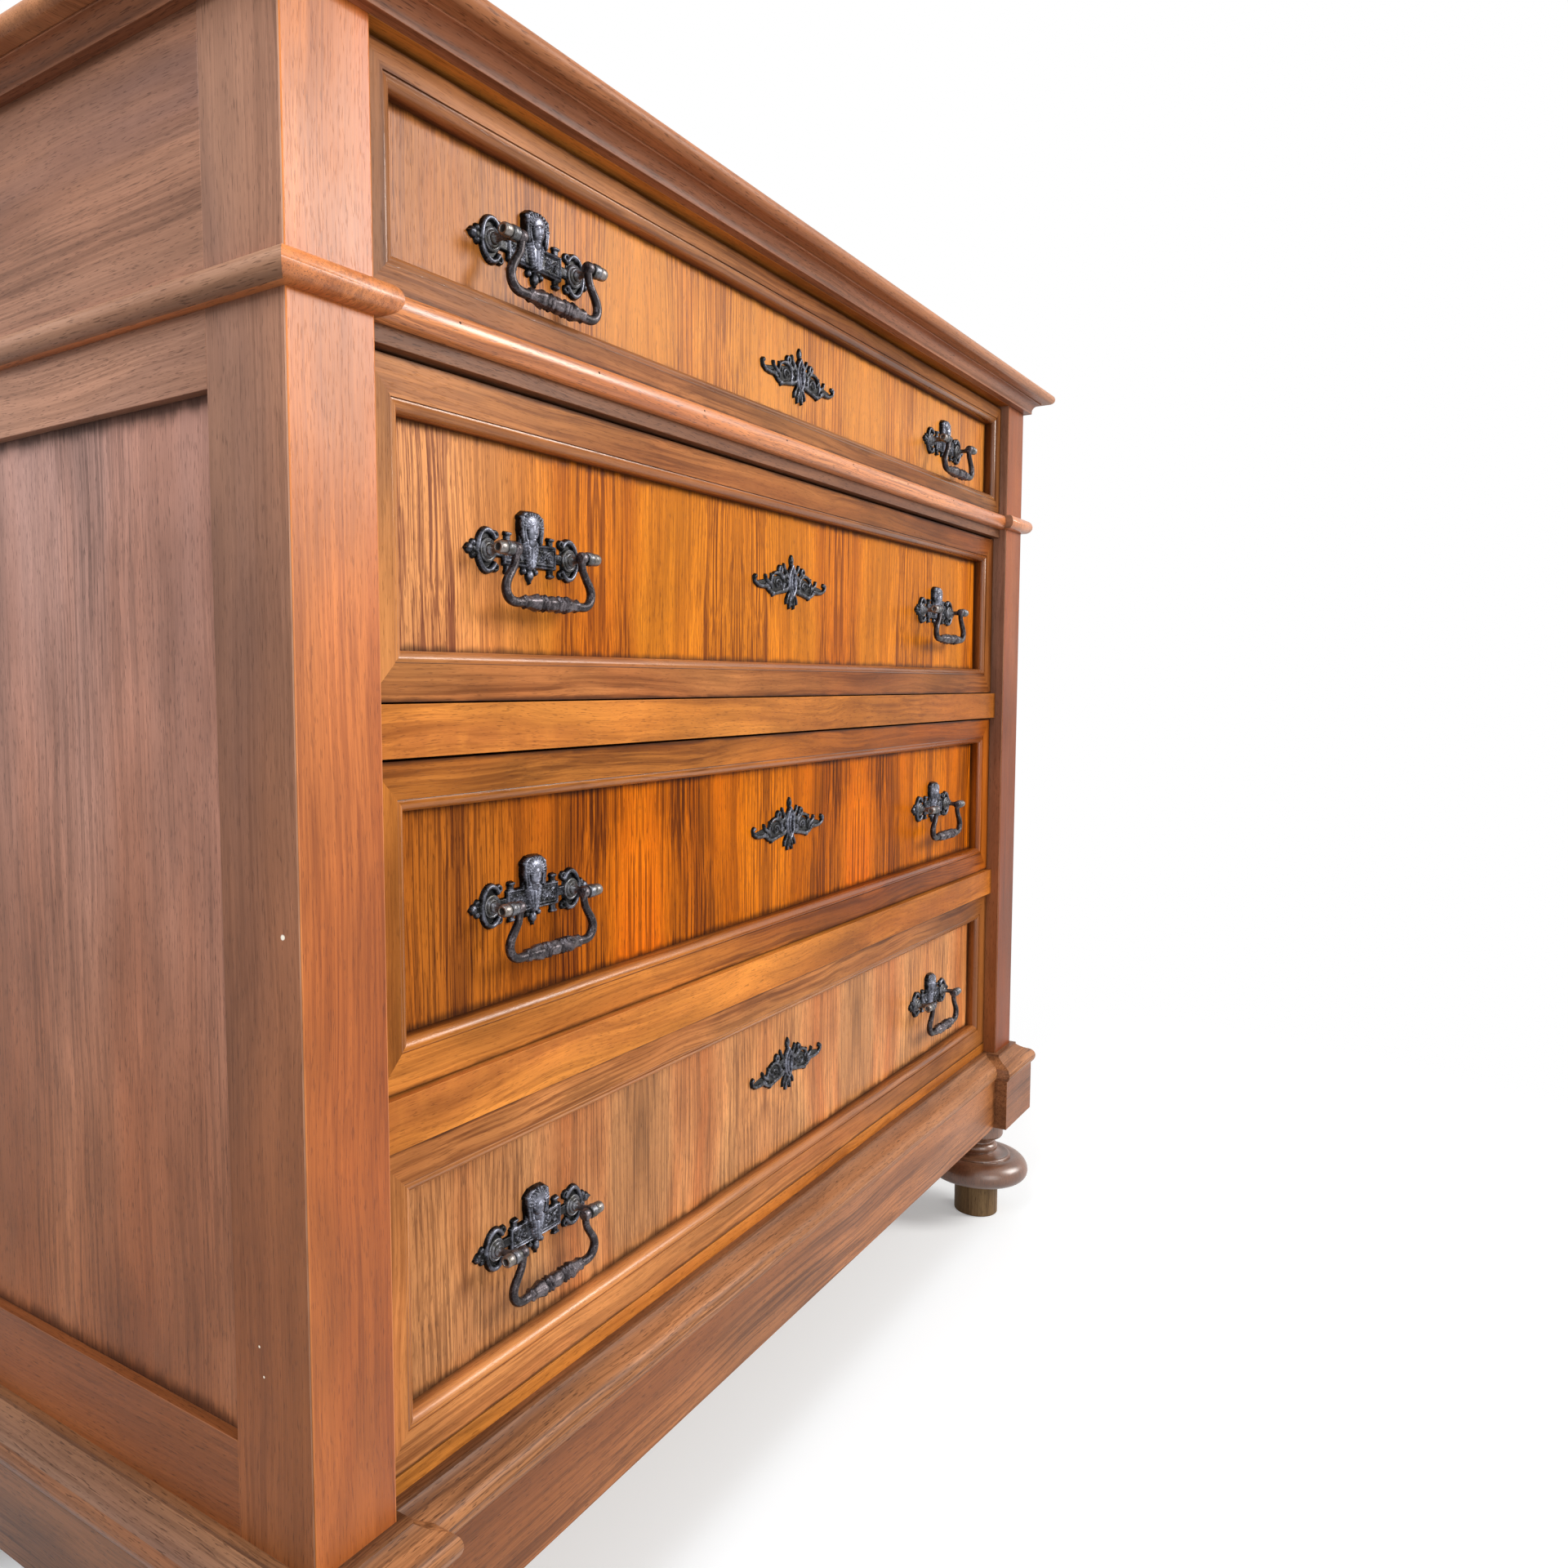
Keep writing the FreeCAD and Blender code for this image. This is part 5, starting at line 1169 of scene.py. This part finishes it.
def headed(name, body, node, material, places, head, turn, seed):
    """Domed heads on places in metres, as one piece.

    head is (radius, height), and turn is the angles that turn a head from upright to outward.
    """
    tree = bpy.data.node_groups.new(name + "_heads", "GeometryNodeTree")
    tree.interface.new_socket("Geometry", in_out="INPUT", socket_type="NodeSocketGeometry")
    inputs = {}
    for label, kind, value in (("Radius", "Float", head[0]), ("Height", "Float", head[1]),
                               ("Turn", "Vector", turn), ("Seed", "Int", seed)):
        socket = tree.interface.new_socket(label, in_out="INPUT", socket_type="NodeSocket" + kind)
        inputs[socket.identifier] = value
    tree.interface.new_socket("Geometry", in_out="OUTPUT", socket_type="NodeSocketGeometry")
    given = add(tree, "NodeGroupInput").outputs
    ball = add(tree, "GeometryNodeMeshUVSphere", inputs={
        "Segments": head_sides, "Rings": head_rings, "Radius": given["Radius"]})
    chance = add(tree, "FunctionNodeRandomValue", inputs={"Seed": given["Seed"]})
    limits = [socket for socket in chance.inputs if socket.type == "VALUE" and socket.enabled]
    for socket, value in zip(limits, (narrowest, widest)):
        feed(tree, socket, value)
    width = next(socket for socket in chance.outputs if socket.enabled)
    size = add(tree, "CombineXYZ", width, width, maths(tree, "DIVIDE", given["Height"], given["Radius"]))
    facing = add(tree, "FunctionNodeEulerToRotation", given["Turn"])
    copies = add(tree, "GeometryNodeInstanceOnPoints", inputs={
        "Points": given["Geometry"], "Instance": ball.outputs["Mesh"], "Rotation": facing.outputs[0],
        "Scale": size.outputs[0]})
    real = add(tree, "GeometryNodeRealizeInstances", copies.outputs[0])
    dressed = add(tree, "GeometryNodeSetMaterial", real.outputs[0], inputs={"Material": material})
    add(tree, "NodeGroupOutput", dressed.outputs[0])

    marks = bpy.data.meshes.new(name + "_places")
    marks.from_pydata(places, [], [])
    holder = bpy.data.objects.new(name + "_holder", marks)
    bpy.context.scene.collection.objects.link(holder)
    heads = holder.modifiers.new("heads", "NODES")
    heads.node_group = tree
    for identifier, value in inputs.items():
        heads[identifier] = value
    mesh = bpy.data.meshes.new_from_object(holder.evaluated_get(bpy.context.evaluated_depsgraph_get()))
    bpy.data.objects.remove(holder)
    mesh.name = name
    mesh.shade_smooth()
    return placed(name, mesh, body, node)


def spaced(start, stop, count=8):
    """Places at even steps from one to another."""
    return [start + (stop - start) * step / (count - 1) for step in range(count)]


low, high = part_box("back_panel")
seams = [low[0] + (high[0] - low[0]) * board / back_boards for board in range(back_boards + 1)]
nails = [(x, high[1] - board_setback, z) for left, right in zip(seams, seams[1:])
         for x in (left + board_margin[0], right - board_margin[0])
         for z in (bottom + board_margin[1], top - board_margin[1])]
headed("back_panel_nails", "case", "back_panel", nail_iron, nails, back_nail, backward, 3)

low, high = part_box("waist_bead_front")
pins = [(x, low[1] + pin_sink, (low[2] + high[2]) / 2 + pin_rise)
        for x in spaced(low[0] + pin_margin, high[0] - pin_margin)]
headed("waist_bead_pins", "case", "waist_bead_front", pin_iron, pins, bead_pin, forward, 5)

for number, drawer in enumerate(drawers, 1):
    low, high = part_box(drawer + "_bottom")
    nails = [(x, high[1] - bottom_inset, low[2])
             for x in spaced(low[0] + bottom_margin, high[0] - bottom_margin)]
    headed(drawer + "_bottom_nails", drawer, drawer + "_bottom", nail_iron, nails, drawer_nail, downward,
           10 + number)
    low, high = lock_boxes[drawer]
    rivets = [(x, high[1], z) for x in (low[0] + rivet_margin[0], high[0] - rivet_margin[0])
              for z in (low[2] + rivet_margin[1], high[2] - rivet_margin[2])]
    headed(drawer + "_lock_rivets", drawer, drawer + "_lock_set", lock_iron, rivets, lock_rivet, backward,
           20 + number)
